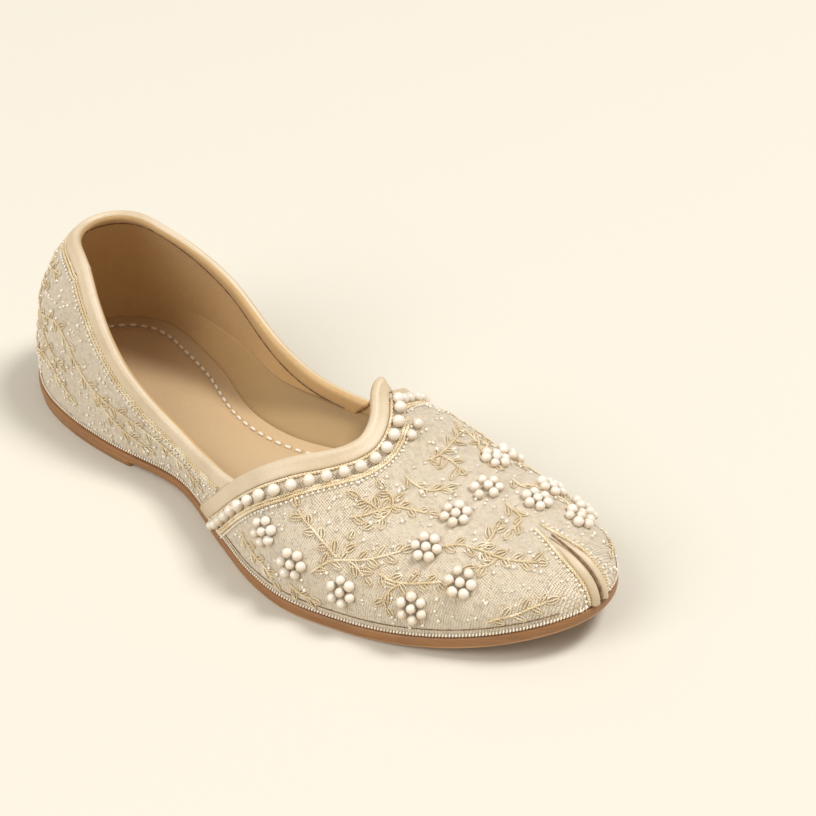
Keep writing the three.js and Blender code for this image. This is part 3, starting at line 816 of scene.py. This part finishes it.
def edge_strip(s, around, inward, fold_width, fold_lift, mitres):
    """Closed folded strip: at each station of the edge a ring of section points, set square to the
    edge, or turned near a mitre to the mitre's own way and drawn out to keep its width."""
    points, normal, square = edge_frame(s, around, inward)
    length = run_length(points)
    way = square.copy()
    for station, toward in mitres:
        pull = np.clip(1 - np.abs(length - length[station]) / MITRE_FADE, 0, 1)[:, None]
        flat = unit(toward - (normal * toward).sum(-1, keepdims=True) * normal)
        way = unit(way * (1 - pull) + flat * pull)
    run = np.concatenate([points[1:2] - points[:1], np.diff(points, axis=0)])
    edge = unit(np.cross(run, normal)) * inward
    reach = 1 / np.maximum((way * edge).sum(-1), 0.6)
    rows, count = len(s), fold_width.shape[1]
    spread = [np.repeat(v[:, None], count, 1) for v in (s, around, way)]
    ring = moved(*spread, fold_width * reach[:, None], fold_lift)
    ring = np.concatenate([ring, ring[:, :1]], 1)
    middle = ring[[0, -1], :-1].mean(1)[:, None] + np.zeros((2, count + 1, 3))
    net = np.concatenate([middle[:1], ring, middle[1:]])
    run_uv = np.concatenate([length[:1], length, length[-1:]])
    uv = np.stack(np.broadcast_arrays(run_uv[:, None], np.arange(count + 1.0)), -1)
    part = net_part(net, uv)
    column = np.tile(np.arange(count), rows + 1)
    facing = (column >= FACING_FROM) & (column < FACING_TO)
    return part, facing.astype(int)


def collar_edge(count, stop):
    """Quarter topline from the outer corner round the heel to the inner corner."""
    t = np.linspace(-stop, stop, count)
    return quarter_place(t, np.ones(count))


def throat_edge(turn):
    """Rear edge of the vamp, from the outer feather edge (1) over the peak to the inner one (-1)."""
    return vamp_place(turn, np.zeros_like(turn))


def edge_fall(side):
    """Way in which the vamp's rear edge runs down from a corner."""
    turn = -side * (CORNER_TURN[side] + np.array([0.0, 0.1]))
    return unit(np.diff(skin(*throat_edge(turn)), axis=0)[0])


fold_in, fold_lift = np.array(FOLD["width"]), np.array(FOLD["lift"])
outer_leg = (fold_in > 0) & (fold_lift > 0)
fold_width = np.where(outer_leg, fold_in * COLLAR_LEG, fold_in)
collar_s, collar_around = collar_edge(241, 0.992)
collar_part, collar_facing = edge_strip(
    collar_s, collar_around, -1, np.tile(fold_width, (241, 1)), np.tile(fold_lift, (241, 1)),
    [(0, edge_fall(-1)), (240, edge_fall(1))])
collar = make("collar_binding_roll", collar_part, [binding_leather, lining], collar_facing, outward=True)
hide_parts("collar_binding")

strap_turn = np.sin(np.linspace(np.pi / 2, -np.pi / 2, 301))
strap_turn = 0.99 * np.sign(strap_turn) * np.abs(strap_turn) ** 1.5
corner = np.where(strap_turn > 0, CORNER_TURN[-1], CORNER_TURN[1])
fold_width = np.where(outer_leg, fold_in * THROAT_LEG, fold_in)
strap = ease((np.abs(strap_turn) - corner) / 0.03 + 0.6)[:, None]
strap_width = fold_width * (1 - strap) + np.maximum(fold_width, -1.15) * strap
strap_lift = fold_lift * (1 - strap) + np.maximum(fold_lift, -VAMP_LIFT - 0.1) * strap
throat_s, throat_around = throat_edge(strap_turn)
throat_part, throat_facing = edge_strip(
    throat_s, throat_around, 1, strap_width, strap_lift + VAMP_LIFT, [(150, np.array([1.0, 0.0, -0.6]))])
throat = make("throat_binding_strap", throat_part, [binding_leather, lining], throat_facing, outward=True)
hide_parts("throat_binding", "side_strap_lateral", "side_strap_medial")


# ---------------------------------------------------------------- Toe pipings
# Two half-round rolls of the same cream leather over the toe seam, side by side with a dark slit
# between them; they rise out of the vamp and run down to the sole.
PIPING_FROM_X = 229.0
PIPING_WIDTH = 3.3
PIPING_HEIGHT = 2.0
PIPING_SLIT = 0.3
PIPING_END = 0.985


def toe_line(y, t, side):
    """Place on the toe at a distance y beside the middle line, t from the start of the pipings (0)
    to the feather edge (1)."""
    column, square = ("lateral", "outer_square") if side < 0 else ("medial", "inner_square")
    xs = np.linspace(PIPING_FROM_X - 20, LENGTH, 600)
    halves = smooth(LAST, column, xs) * np.sin(station_of(xs))
    end = np.interp(y, halves[::-1], xs[::-1])
    x = PIPING_FROM_X + (end - PIPING_FROM_X) * np.sin(t * np.pi / 2)
    half = smooth(LAST, column, x) * np.sin(station_of(x))
    turned = np.arccos(np.clip(y / half, 0, 1) ** (smooth(LAST, square, x) / 2))
    return station_of(x), np.pi - turned if side < 0 else turned


def toe_piping(side):
    """Closed half-round roll: across it the height follows a half circle, along it width and height
    grow from nothing."""
    t = np.linspace(0, PIPING_END, 60)[:, None]
    angle = np.linspace(0, np.pi, 15)
    grow = ease(t / 0.5)
    width = PIPING_WIDTH * (0.3 + 0.7 * grow)
    slit = PIPING_SLIT * (0.3 + 0.7 * grow)
    y = slit + width * (0.5 - 0.5 * np.cos(angle))
    lift = VAMP_LIFT - 0.2 + PIPING_HEIGHT * (0.08 + 0.92 * grow) * np.sin(angle)
    s, around = toe_line(y, t + 0 * y, side)
    top, base = lay(s, around, lift), lay(s, around, VAMP_LIFT - 0.6 + 0 * lift)
    uv = np.stack(np.broadcast_arrays(t * 30, angle), -1)
    return shell(top, base, uv, uv)


for side, word in ((-1, "lateral"), (1, "medial")):
    roll = make("toe_roll_" + word, toe_piping(side), [binding_leather], outward=True)
    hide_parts("toe_piping_" + word)


# ---------------------------------------------------------------- Gold cords
# Twisted gold cord couched down beside the bindings and the toe seam in one or two rows. Fine dark
# stitch lines lie against the leather and inside the collar; a dark thread in the slit between the
# pipings marks the seam and paints the slit's shade.
CORD_RADIUS = 0.36
CORD_PITCH = 2.0
GOLD = (0.89, 0.75, 0.51, 1)
GOLD_LIGHT = (0.95, 0.87, 0.69, 1)
GOLD_DEEP = (0.66, 0.50, 0.285, 1)
FACING_LIFT = -2.75
COLLAR_CORDS = (4.2, 5.4)  # widths in from the edge
THROAT_CORDS = (4.95, 9.75, 10.8)
COLLAR_SEAM, THROAT_SEAM, FACING_SEAM = 3.65, 4.4, 3.8
COLLAR_THREAD, THROAT_THREAD, FACING_THREAD, SLIT_SEAM_AND_SHADE_THREAD = 0.26, 0.28, 0.24, 0.34
SEAM_LIFT = 0.1
SLIT_LIFT = 1.15
SLIT_THREAD_Y = 0.1
TOE_CORD_GAP = 0.6
SEAM_BROWN = (0.15, 0.075, 0.028, 1)
SEAM_LIGHT = (0.32, 0.19, 0.085, 1)

gold = Finish("gold_thread", Roughness=0.42, Metallic=0.2)
gold_run, gold_turn = gold.parts(gold.uv())
gold_place = gold.object()
gold_ply = (gold_run * 8 + gold_turn * 6.283).wave()
gold_cloud = gold.noise(gold_place, 160, 3, 0.6)
gold_tone = gold.mix(GOLD_DEEP, GOLD, (gold_ply * 0.25 + gold_cloud).over(0.42, 0.5))
gold.feed("Base Color", gold.mix(gold_tone, GOLD_LIGHT, gold_cloud.over(0.56, 0.25) * 0.7))
gold.feed("Roughness", 0.55 - gold_cloud * 0.3)
gold.bump(gold_ply, 0.00012, 0.6)
seam_thread = Finish("seam_thread", Roughness=0.7)
seam_place = seam_thread.object()
seam_cloud = seam_thread.noise(seam_place, 500, 2)
seam_thread.feed("Base Color", seam_thread.mix(SEAM_BROWN, SEAM_LIGHT, seam_cloud.over(0.5, 0.4)))
seam_thread.bump(seam_cloud, 0.0001, 0.4)


def spaced(s, around, pitch):
    """The same path with places one pitch apart."""
    index = resample(skin(s, around), pitch)
    return at_index(s, index), at_index(around, index)


def twisted(s, around, lift, radius, pitch):
    """Two plies wound round each other along a path on the skin."""
    s, around = spaced(s, around, pitch / 6)
    normal = skin_frame(s, around)[2]
    core = lay(s, around, lift + 0 * s)
    across = unit(np.cross(np.gradient(core, axis=0), normal))
    phase = 2 * np.pi * run_length(core) / pitch + np.array([[0.0], [np.pi]])
    swing = np.cos(phase)[..., None] * across + np.sin(phase)[..., None] * normal
    paths = core + radius * 0.8 * swing
    blunt = min(1.2 / max(run_length(core)[-1], 1.3), 0.4)
    return tubes(paths, np.broadcast_to(normal, paths.shape), radius, 5, rounded(len(core), blunt))


def plain(s, around, lift, radius, sides=5):
    """One round thread along a path on the skin."""
    s, around = spaced(s, around, max(radius * 2, 0.5))
    core = lay(s, around, lift + 0 * s)[None]
    blunt = min(1.0 / max(run_length(core[0])[-1], 1.1), 0.4)
    return tubes(core, skin_frame(s, around)[2][None], radius, sides, rounded(core.shape[1], blunt))


def beside(s, around, inward, width):
    """Path a given width inside an edge, as places on the skin."""
    along, over, _ = skin_frame(s, around)
    _, _, way = edge_frame(s, around, inward)
    first = unit(along)
    second = unit(over - (over * first).sum(-1, keepdims=True) * first)
    return walk(s, around, (way * first).sum(-1) * width, (way * second).sum(-1) * width)


def beside_throat(width, side, to_turn=0.985):
    """Path inside the vamp's rear edge on one side, from the feather edge up to the crown line."""
    turn = -side * np.linspace(to_turn, 0.03, 220)
    s, around = beside(*throat_edge(turn), -side, width)
    keep = (around - np.pi / 2) * -side > 0.004
    stop = np.argmin(keep) if not keep.all() else len(keep)
    return s[:stop], around[:stop]


def beside_collar(width, side, stop=0.955):
    """Path on the quarter below the topline of one side, from the heel back to the corner."""
    t = side * np.linspace(1e-4, stop, 180)
    return beside(*quarter_place(t, np.ones(180)), -side, width)


cord_parts, seam_parts = [], []
for side in (-1, 1):
    for width in COLLAR_CORDS:
        cord_parts.append(twisted(*beside_collar(width, side), 0.35, CORD_RADIUS, CORD_PITCH))
    seam_parts.append(plain(*beside_collar(COLLAR_SEAM, side), SEAM_LIFT, COLLAR_THREAD))
    for width in THROAT_CORDS:
        cord_parts.append(twisted(*beside_throat(width, side), VAMP_LIFT + 0.3, CORD_RADIUS, CORD_PITCH))
    seam_parts.append(plain(*beside_throat(THROAT_SEAM, side), VAMP_LIFT + SEAM_LIFT, THROAT_THREAD))
    seam_parts.append(plain(*beside_collar(FACING_SEAM, side), FACING_LIFT, FACING_THREAD))
    slit_t = np.linspace(0.04, 0.98, 60)
    # The dark thread in the slit is partly the seam and partly painted shade that darkens the slit.
    seam_parts.append(plain(
        *toe_line(SLIT_THREAD_Y + 0 * slit_t, slit_t, side), VAMP_LIFT + SLIT_LIFT, SLIT_SEAM_AND_SHADE_THREAD))
    toe_t = np.linspace(-0.12, 0.97, 120)
    toe_y = PIPING_SLIT + PIPING_WIDTH + TOE_CORD_GAP - 2.6 * (1 - ease((toe_t + 0.12) / 0.5))
    cord_parts.append(twisted(*toe_line(toe_y, toe_t, side), VAMP_LIFT + 0.3, CORD_RADIUS, CORD_PITCH))
cords = make("gold_cords", joined(cord_parts), [gold])
seams = make("seam_lines", joined(seam_parts), [seam_thread])


# ---------------------------------------------------------------- Pearls
# Round cream pearls sewn on singly: one row along the throat, and flowers of six round one over the
# vamp, charted from the picture on the outer side and by length and turn on the hidden side.
ROW_WIDTH = 7.35
ROW_PITCH = 5.15
ROW_RADIUS = 2.0
PETAL_RADIUS = 1.68
PETAL_RING = 3.55
HEART_RADIUS = 1.6
PEARL_SINK = 0.72
FLOWERS_SEEN = [
    (266, 531), (293, 563), (342, 591), (413, 607), (461, 583), (427, 549), (456, 517),
    (488, 490), (494, 462), (536, 503), (578, 521)]
FLOWERS_HIDDEN = {
    "x": [154, 166, 184, 206, 214, 191, 224],
    "turn": [-0.74, -0.79, -0.82, -0.80, -0.40, -0.52, -0.60],
}
PEARL_WHITE = (0.87, 0.81, 0.72, 1)
PEARL_WARM_AND_SHADE = (0.66, 0.51, 0.32, 1)

rng = np.random.default_rng(7)
pearl = Finish("pearl", Roughness=0.22, Coat_Weight=1.0, Coat_Roughness=0.06, Subsurface_Weight=0.1,
               Subsurface_Scale=0.001, Sheen_Weight=0.2)
pearl_place = pearl.object()
pearl_cloud = pearl.noise(pearl_place, 140, 2, 0.5)
# Painted shade: each pearl is warmed and darkened on its lower side, turned away from the light, with cloudy
# tone mixed in.
pearl_up = pearl.node("SeparateXYZ", {}, {"Vector": pearl.node("TexCoord", out=1)}, out=2)
pearl_lower_shade = 1 - pearl_up.over(0.15, 1.1)
pearl_tone_and_shade = pearl_cloud.over(0.55, 0.4) * 0.4 + pearl_lower_shade * 0.6
pearl.feed("Base Color", pearl.mix(PEARL_WHITE, PEARL_WARM_AND_SHADE, pearl_tone_and_shade))
pearl.feed("Roughness", pearl_cloud * 0.2 + 0.14)


def balls(centres, normals, radii, rings, segments, squash=1.0):
    """Round beads: one ball of rings and segments repeated at each centre, its pole on the normal,
    flattened along it by a factor."""
    polar = np.linspace(0, np.pi, rings + 1)[:, None]
    angle = np.linspace(0, 2 * np.pi, segments + 1)
    helper = np.where(np.abs(normals[:, :1]) < 0.8, [[1.0, 0.0, 0.0]], [[0.0, 1.0, 0.0]])
    first = unit(np.cross(helper, normals))
    second = np.cross(normals, first)
    flat = [np.sin(polar) * np.cos(angle), np.sin(polar) * np.sin(angle), np.cos(polar) + 0 * angle]
    radii = np.broadcast_to(np.asarray(radii, float), (len(centres),))[:, None, None, None]
    axes = [v[:, None, None] for v in (first, second, normals * squash)]
    points = centres[:, None, None] + radii * sum(f[None, ..., None] * a for f, a in zip(flat, axes))
    uv = np.stack(np.broadcast_arrays(polar, angle), -1)[None] + np.zeros((len(centres), 1, 1, 2))
    one = grid_faces(rings + 1, segments + 1)
    faces = one[None] + (np.arange(len(centres)) * (rings + 1) * (segments + 1))[:, None, None]
    return points.reshape(-1, 3), faces.reshape(-1, 4), uv.reshape(-1, 2)


def beads_at(s, around, lift, radii, rings, segments, squash=1.0):
    """Beads sewn on the skin at given places, sunk a little into it."""
    radii = np.broadcast_to(np.asarray(radii, float), s.shape)
    return balls(
        lay(s, around, lift + radii * PEARL_SINK * squash), skin_frame(s, around)[2], radii, rings, segments,
        squash)


row_parts = []
for side in (-1, 1):
    row_s, row_around = spaced(*beside_throat(ROW_WIDTH, side, 0.95), ROW_PITCH)
    row_size = ROW_RADIUS * rng.uniform(0.93, 1.04, len(row_s))
    row_size = row_size * np.clip(0.82 + 0.05 * np.arange(len(row_s)), 0, 1)
    row_parts.append(beads_at(row_s, row_around, VAMP_LIFT, row_size, 11, 18))
peak_s, peak_around = vamp_place(np.array([0.03, -0.03]), np.array([0.1, 0.1]))
row_parts.append(beads_at(peak_s, peak_around, VAMP_LIFT, 1.7, 11, 18))
pearl_row = make("pearl_row", joined(row_parts), [pearl])

seen_s, seen_around = picked(FLOWERS_SEEN)
hidden_s = station_of(np.array(FLOWERS_HIDDEN["x"]))
hidden_around = np.pi / 2 * (1 + np.array(FLOWERS_HIDDEN["turn"]))
flower_s = np.concatenate([seen_s, hidden_s])
flower_around = np.concatenate([seen_around, hidden_around])
petal_angle = np.radians(np.arange(6) * 60)[None] + rng.uniform(0, np.pi / 3, (len(flower_s), 1))
petal_s, petal_around = walk(
    flower_s[:, None] + 0 * petal_angle, flower_around[:, None] + 0 * petal_angle,
    PETAL_RING * np.cos(petal_angle), PETAL_RING * np.sin(petal_angle))
petal_size = PETAL_RADIUS * rng.uniform(0.9, 1.06, petal_s.size)
flower_parts = [
    beads_at(petal_s.ravel(), petal_around.ravel(), VAMP_LIFT, petal_size, 10, 16),
    beads_at(flower_s, flower_around, VAMP_LIFT + 0.35, HEART_RADIUS, 10, 16)]
pearl_flowers = make("pearl_flowers", joined(flower_parts), [pearl])


# ---------------------------------------------------------------- Gold vines
# Stems of twisted gold thread with sprays of small leaves, each an outline and a rib of thread.
# On the vamp the stems are charted from the picture and mirrored to the hidden side; on the
# quarter a vine runs forward from the heel on both sides.
STEM_RADIUS = 0.25
STEM_PITCH = 1.9
LEAF_LENGTH = 4.6
LEAF_WIDTH = 1.1
LEAF_THREAD = 0.24
LEAF_GAP = 3.3
STEMS_SEEN = [
    [(312, 573), (322, 566), (333, 561), (347, 560), (365, 560), (384, 557), (402, 552)],
    [(338, 558), (328, 547), (319, 536), (311, 527), (303, 517), (299, 508)],
    [(348, 561), (357, 567), (365, 577)],
    [(342, 557), (346, 548), (349, 541)],
    [(349, 518), (364, 516), (379, 511), (393, 508), (410, 511), (428, 515)],
    [(379, 511), (371, 505), (359, 499)],
    [(393, 508), (392, 499), (385, 491)],
    [(393, 509), (386, 518), (375, 524)],
    [(378, 573), (392, 581), (410, 584), (428, 583), (443, 582)],
    [(402, 584), (391, 590), (385, 600), (388, 607)],
    [(441, 548), (460, 546), (480, 551), (500, 559), (518, 562), (537, 564)],
    [(498, 559), (488, 566), (477, 568)],
    [(480, 551), (490, 541), (496, 531)],
    [(425, 462), (437, 457), (447, 448), (457, 437)],
    [(437, 457), (450, 462), (459, 470)],
    [(404, 477), (416, 487), (431, 492), (445, 490)],
    [(243, 531), (249, 544), (257, 556), (268, 568), (275, 579)],
    [(290, 582), (300, 591), (313, 598)],
    [(488, 621), (501, 617), (515, 614), (530, 608), (545, 602)],
    [(505, 505), (520, 520), (512, 532)],
    [(510, 480), (522, 488), (533, 486)],
]
MIRROR_FROM_TURN = 0.3


def spline(s, around, per_span=8):
    """Smooth path through charted places: cubic pieces whose slope at a place is that between its
    neighbours."""
    knots = np.stack([s, around], -1)
    padded = np.concatenate([2 * knots[:1] - knots[1:2], knots, 2 * knots[-1:] - knots[-2:-1]])
    t = np.linspace(0, 1, per_span, endpoint=False)[None, :, None]
    a, b, c, d = (padded[i:len(padded) - 3 + i, None] for i in range(4))
    path = b + 0.5 * t * (c - a + t * (2 * a - 5 * b + 4 * c - d + t * (3 * (b - c) + d - a)))
    path = np.concatenate([path.reshape(-1, 2), knots[-1:]])
    return path[:, 0], path[:, 1]


def leaves_along(s, around, gap, spread, length, rng):
    """Leaves of a stem: one on its end and others left and right in turn, leaning forward, as base
    places with the way ahead and aside and their length."""
    s, around = spaced(s, around, 0.5)
    every = max(int(gap / 0.5), 1)
    index = np.append(np.arange(every // 2, len(s) - 2, every), len(s) - 1)
    points = skin(s, around)
    travel = unit(np.gradient(points, axis=0))[index]
    along, over, _ = skin_frame(s[index], around[index])
    first = unit(along)
    second = unit(over - (over * first).sum(-1, keepdims=True) * first)
    heading = np.arctan2((travel * second).sum(-1), (travel * first).sum(-1))
    hand = np.where(np.arange(len(index)) % 2 == 0, 1.0, -1.0)
    hand[-1] = 0
    heading = heading + hand * spread * rng.uniform(0.8, 1.2, len(index))
    return s[index], around[index], heading, length * rng.uniform(0.8, 1.15, len(index))


def leaf_threads(s, around, heading, length, width, lift):
    """Satin leaves: each an outline and a rib of thread from base to tip, bowed to a pointed oval and raised
    in the middle."""
    fan = np.linspace(-1, 1, 3)[None, :, None]
    t = np.linspace(0, 1, 8)[None, None, :]
    ahead = length[:, None, None] * (t + 0 * fan)
    aside = width * fan * np.sin(np.pi * t**0.85)
    turn = heading[:, None, None]
    base = [np.broadcast_to(v[:, None, None], ahead.shape) for v in (s, around)]
    leaf_s, leaf_around = walk(
        *base, ahead * np.cos(turn) - aside * np.sin(turn), ahead * np.sin(turn) + aside * np.cos(turn))
    rise = lift + 0.3 + 0.3 * (1 - fan**2) * np.sin(np.pi * t) + 0 * ahead
    paths = lay(leaf_s, leaf_around, rise).reshape(-1, 8, 3)
    normals = skin_frame(leaf_s, leaf_around)[2].reshape(-1, 8, 3)
    return tubes(paths, normals, LEAF_THREAD, 5, rounded(8, 0.25))


vine_parts, stem_places, leaf_rows = [], [], []
for chart in STEMS_SEEN:
    path = spline(*picked(chart))
    sides = [path]
    if ((path[1] - np.pi / 2) / (np.pi / 2)).mean() > MIRROR_FROM_TURN:
        sides.append((path[0], np.pi - path[1]))
    for stem in sides:
        vine_parts.append(twisted(*stem, VAMP_LIFT + 0.3, STEM_RADIUS, STEM_PITCH))
        stem_places.append(np.stack(spaced(*stem, 1.0), -1))
        leaf_rows.append(leaves_along(*stem, LEAF_GAP, 0.75, LEAF_LENGTH, rng))
leaf_table = [np.concatenate(column) for column in zip(*leaf_rows)]
vine_parts.append(leaf_threads(*leaf_table, LEAF_WIDTH, VAMP_LIFT))
vamp_vines = make("vamp_vines", joined(vine_parts), [gold])

QUARTER_STEMS = [  # t and rise of each stem on one side, from its foot to its tip
    [(0.06, 0.42), (0.18, 0.52), (0.32, 0.44), (0.46, 0.52), (0.60, 0.42), (0.74, 0.50), (0.88, 0.36)],
    [(0.05, 0.20), (0.16, 0.26), (0.28, 0.18), (0.40, 0.24), (0.52, 0.16)],
    [(0.04, 0.70), (0.14, 0.78), (0.24, 0.70), (0.34, 0.76)],
    [(0.32, 0.44), (0.40, 0.34), (0.48, 0.30)],
    [(0.18, 0.52), (0.25, 0.60), (0.30, 0.62)],
    [(0.60, 0.42), (0.66, 0.30), (0.73, 0.24)],
]
quarter_parts, quarter_leaves, quarter_stem_places = [], [], []
for chart in QUARTER_STEMS:
    for side in (-1, 1):
        knots = np.array(chart)
        path = spline(knots[:, 0], knots[:, 1])
        stem = quarter_place(side * path[0], path[1])
        quarter_parts.append(twisted(*stem, 0.3, STEM_RADIUS, STEM_PITCH))
        quarter_stem_places.append(np.stack(spaced(*stem, 1.0), -1))
        quarter_leaves.append(leaves_along(*stem, 4.0, 0.75, 4.8, rng))
leaf_table = [np.concatenate(column) for column in zip(*quarter_leaves)]
quarter_parts.append(leaf_threads(*leaf_table, 1.1, 0.0))
quarter_vines = make("quarter_vines", joined(quarter_parts), [gold])


# ---------------------------------------------------------------- Seed beads
# Tiny ivory and clear glass beads: strung along the cords, down the back seam and beside the toe
# seam, and strewn between the vines.
SEED_RADIUS = 0.5
COLLAR_BEADS = 6.7
THROAT_BEADS = 12.0
BEAD_PITCH = 1.7
THROAT_BEAD_PITCH = 1.75
STREWN_VAMP = 1100
STREWN_QUARTER = 900
SEED_IVORY = (0.83, 0.75, 0.62, 1)
SEED_WHITE = (0.92, 0.88, 0.80, 1)

seed_glass = Finish("seed_bead", Roughness=0.18, Coat_Weight=0.5, Coat_Roughness=0.08)
seed_place = seed_glass.object()
seed_cloud = seed_glass.noise(seed_place, 260, 1)
seed_glass.feed("Base Color", seed_glass.mix(SEED_IVORY, SEED_WHITE, seed_cloud.over(0.5, 0.3)))
seed_glass.feed("Roughness", seed_cloud * 0.3 + 0.08)


def bead_row(path, pitch, lift):
    """Row of equal seed beads, set at a pitch along a path on the skin."""
    return beads_at(*spaced(*path, pitch), lift, SEED_RADIUS, 5, 8)


def strewn(place, count, clear, gaps, rng):
    """Random places on a panel that keep clear of given places: each is kept if it is further than
    the gap from them, more often where the panel is drawn out so that they lie evenly."""
    a, b, pick = rng.uniform(0, 0.99, (3, count))
    s, around = place(a, b)
    points = skin(s, around)
    aside, ahead = skin(*place(a + 0.005, b)) - points, skin(*place(a, b + 0.005)) - points
    area = np.linalg.norm(np.cross(aside, ahead), axis=-1)
    keep = pick < area / np.quantile(area, 0.97)
    for (other_s, other_around), gap in zip(clear, gaps):
        far = np.linalg.norm(points[:, None] - skin(other_s, other_around)[None], axis=-1).min(1)
        keep &= far > gap
    return s[keep], around[keep]


seed_parts = []
stems = np.concatenate(stem_places)
rows = [beside_throat(ROW_WIDTH, side) for side in (-1, 1)]
row_places = [np.concatenate(v) for v in zip(*rows)]
rolls = [toe_line(np.full(40, 2.4), np.linspace(-0.1, 1, 40), side) for side in (-1, 1)]
toe_places = [np.concatenate(v) for v in zip(*rolls)]
vamp_seed = strewn(
    lambda a, b: vamp_place(1.94 * a - 0.97, 0.04 + 0.93 * b**1.1), STREWN_VAMP,
    [(flower_s, flower_around), (stems[:, 0], stems[:, 1]), row_places, toe_places],
    [5.8, 1.1, 4.6, 4.6], rng)
seed_parts.append(beads_at(
    *vamp_seed, VAMP_LIFT, SEED_RADIUS * rng.uniform(0.7, 1.25, len(vamp_seed[0])), 5, 8))
stems = np.concatenate(quarter_stem_places)
quarter_seed = strewn(
    lambda a, b: quarter_place(1.9 * a - 0.95, 0.05 + 0.75 * b), STREWN_QUARTER,
    [(stems[:, 0], stems[:, 1])], [1.3], rng)
seed_parts.append(beads_at(
    *quarter_seed, 0.0, SEED_RADIUS * rng.uniform(0.7, 1.2, len(quarter_seed[0])), 5, 8))
for side in (-1, 1):
    seed_parts.append(bead_row(beside_collar(COLLAR_BEADS, side), BEAD_PITCH, 0.0))
    seed_parts.append(bead_row(beside_throat(THROAT_BEADS, side), THROAT_BEAD_PITCH, VAMP_LIFT))
    toe_t = np.linspace(-0.12, 0.96, 120)
    toe_y = PIPING_SLIT + PIPING_WIDTH + 1.75 - 2.6 * (1 - ease((toe_t + 0.12) / 0.5))
    seed_parts.append(bead_row(toe_line(toe_y, toe_t, side), BEAD_PITCH, VAMP_LIFT))
    back_t = np.full(60, side * 0.012)
    back_rise = np.linspace(0.03, 0.84, 60)
    seed_parts.append(bead_row(quarter_place(back_t, back_rise), BEAD_PITCH, 0.0))
seeds = make("seed_beads", joined(seed_parts), [seed_glass])


# ---------------------------------------------------------------- Lasting edge
# Where the cloth is turned under and sewn to the sole: a whipped edge of ivory thread against the
# leather and a fine dark stitch line a little above it.
WHIP_PITCH = 1.05
WHIP_LENGTH = 1.4
WHIP_RADIUS = 0.29

ivory_thread = Finish("ivory_thread", Roughness=0.6, Sheen_Weight=0.3)
ivory_place = ivory_thread.object()
ivory_cloud = ivory_thread.noise(ivory_place, 400, 2)
ivory_thread.feed("Base Color", ivory_thread.mix(CLOTH_IVORY, CLOTH_LIGHT, ivory_cloud.over(0.5, 0.5)))
ivory_thread.bump(ivory_cloud, 0.0001, 0.4)


def above_feather(side, height, from_x, to_x, count=500):
    """Path on the skin a small height above the feather edge."""
    s = np.linspace(station_of(from_x), station_of(to_x), count)
    around = np.full(count, np.pi - 0.001 if side < 0 else 0.001)
    return walk(s, around, 0 * s, side * height + 0 * s)


whip_parts, line_parts = [], []
for side in (-1, 1):
    whip_s, whip_around = spaced(*above_feather(side, 0.2, 0.3, 249.2), WHIP_PITCH)
    lift = np.where(LENGTH * (1 - np.cos(whip_s)) / 2 > throat_x(1.0), VAMP_LIFT, 0.0)
    t = np.linspace(0, 1, 6)
    way = side * WHIP_LENGTH * t[None]
    paths_s, paths_around = walk(
        whip_s[:, None] + 0 * way, whip_around[:, None] + 0 * way, 0.5 * t[None] + 0 * way, way)
    bow = 0.15 + 0.35 * np.sin(np.pi * t)[None]
    paths = lay(paths_s, paths_around, lift[:, None] + bow)
    whip_parts.append(tubes(paths, skin_frame(paths_s, paths_around)[2], WHIP_RADIUS, 5, rounded(6, 0.3)))
    line_parts.append(plain(*above_feather(side, 3.3, 118, 246), VAMP_LIFT + 0.05, 0.22))
whipped_edge = make("whipped_edge", joined(whip_parts), [ivory_thread])
edge_line = make("edge_stitch_line", joined(line_parts), [seam_thread])


# ---------------------------------------------------------------- Floor and light
# A plain cream floor under a soft light high behind on the right, with a broad fill from the outer
# side.
FLOOR_SIZE = 6.0
FLOOR_CREAM = (0.69, 0.655, 0.575, 1)

floor_finish = Finish("floor_paper", Roughness=0.9, Base_Color=FLOOR_CREAM)
floor_mesh = bpy.data.meshes.new("floor")
half = FLOOR_SIZE / 2
floor_mesh.from_pydata(
    [(-half, -half, 0), (half, -half, 0), (half, half, 0), (-half, half, 0)], [], [(0, 1, 2, 3)])
floor_mesh.materials.append(floor_finish.material)
floor = bpy.data.objects.new("floor", floor_mesh)
bpy.context.scene.collection.objects.link(floor)


def soft_light(name, at, aim, size, power, colour):
    """Square area light at a point, turned to face another."""
    data = bpy.data.lights.new(name, "AREA")
    data.size, data.energy, data.color = size, power, colour
    made = bpy.data.objects.new(name, data)
    back = unit(np.array(at, float) - np.array(aim, float))
    right = unit(np.cross([0.0, 0.0, 1.0], back))
    turn = np.eye(4)
    turn[:3, :3] = np.stack([right, np.cross(back, right), back], 1)
    turn[:3, 3] = at
    made.matrix_world = Matrix(turn.tolist())
    bpy.context.scene.collection.objects.link(made)


soft_light("key_light", (1.2, 1.4, 3.5), (0, 0, 0), 1.2, 118, (1.0, 0.985, 0.96))
soft_light("fill_light", (-0.6, -2.6, 2.4), (0, 0, 0), 2.4, 74, (1.0, 0.985, 0.96))
world = bpy.data.worlds.new("studio")
world.use_nodes = True
world.node_tree.nodes["Background"].inputs["Color"].default_value = (1.0, 0.95, 0.87, 1)
world.node_tree.nodes["Background"].inputs["Strength"].default_value = 0.45
bpy.context.scene.world = world
bpy.context.scene.view_settings.view_transform = "Standard"
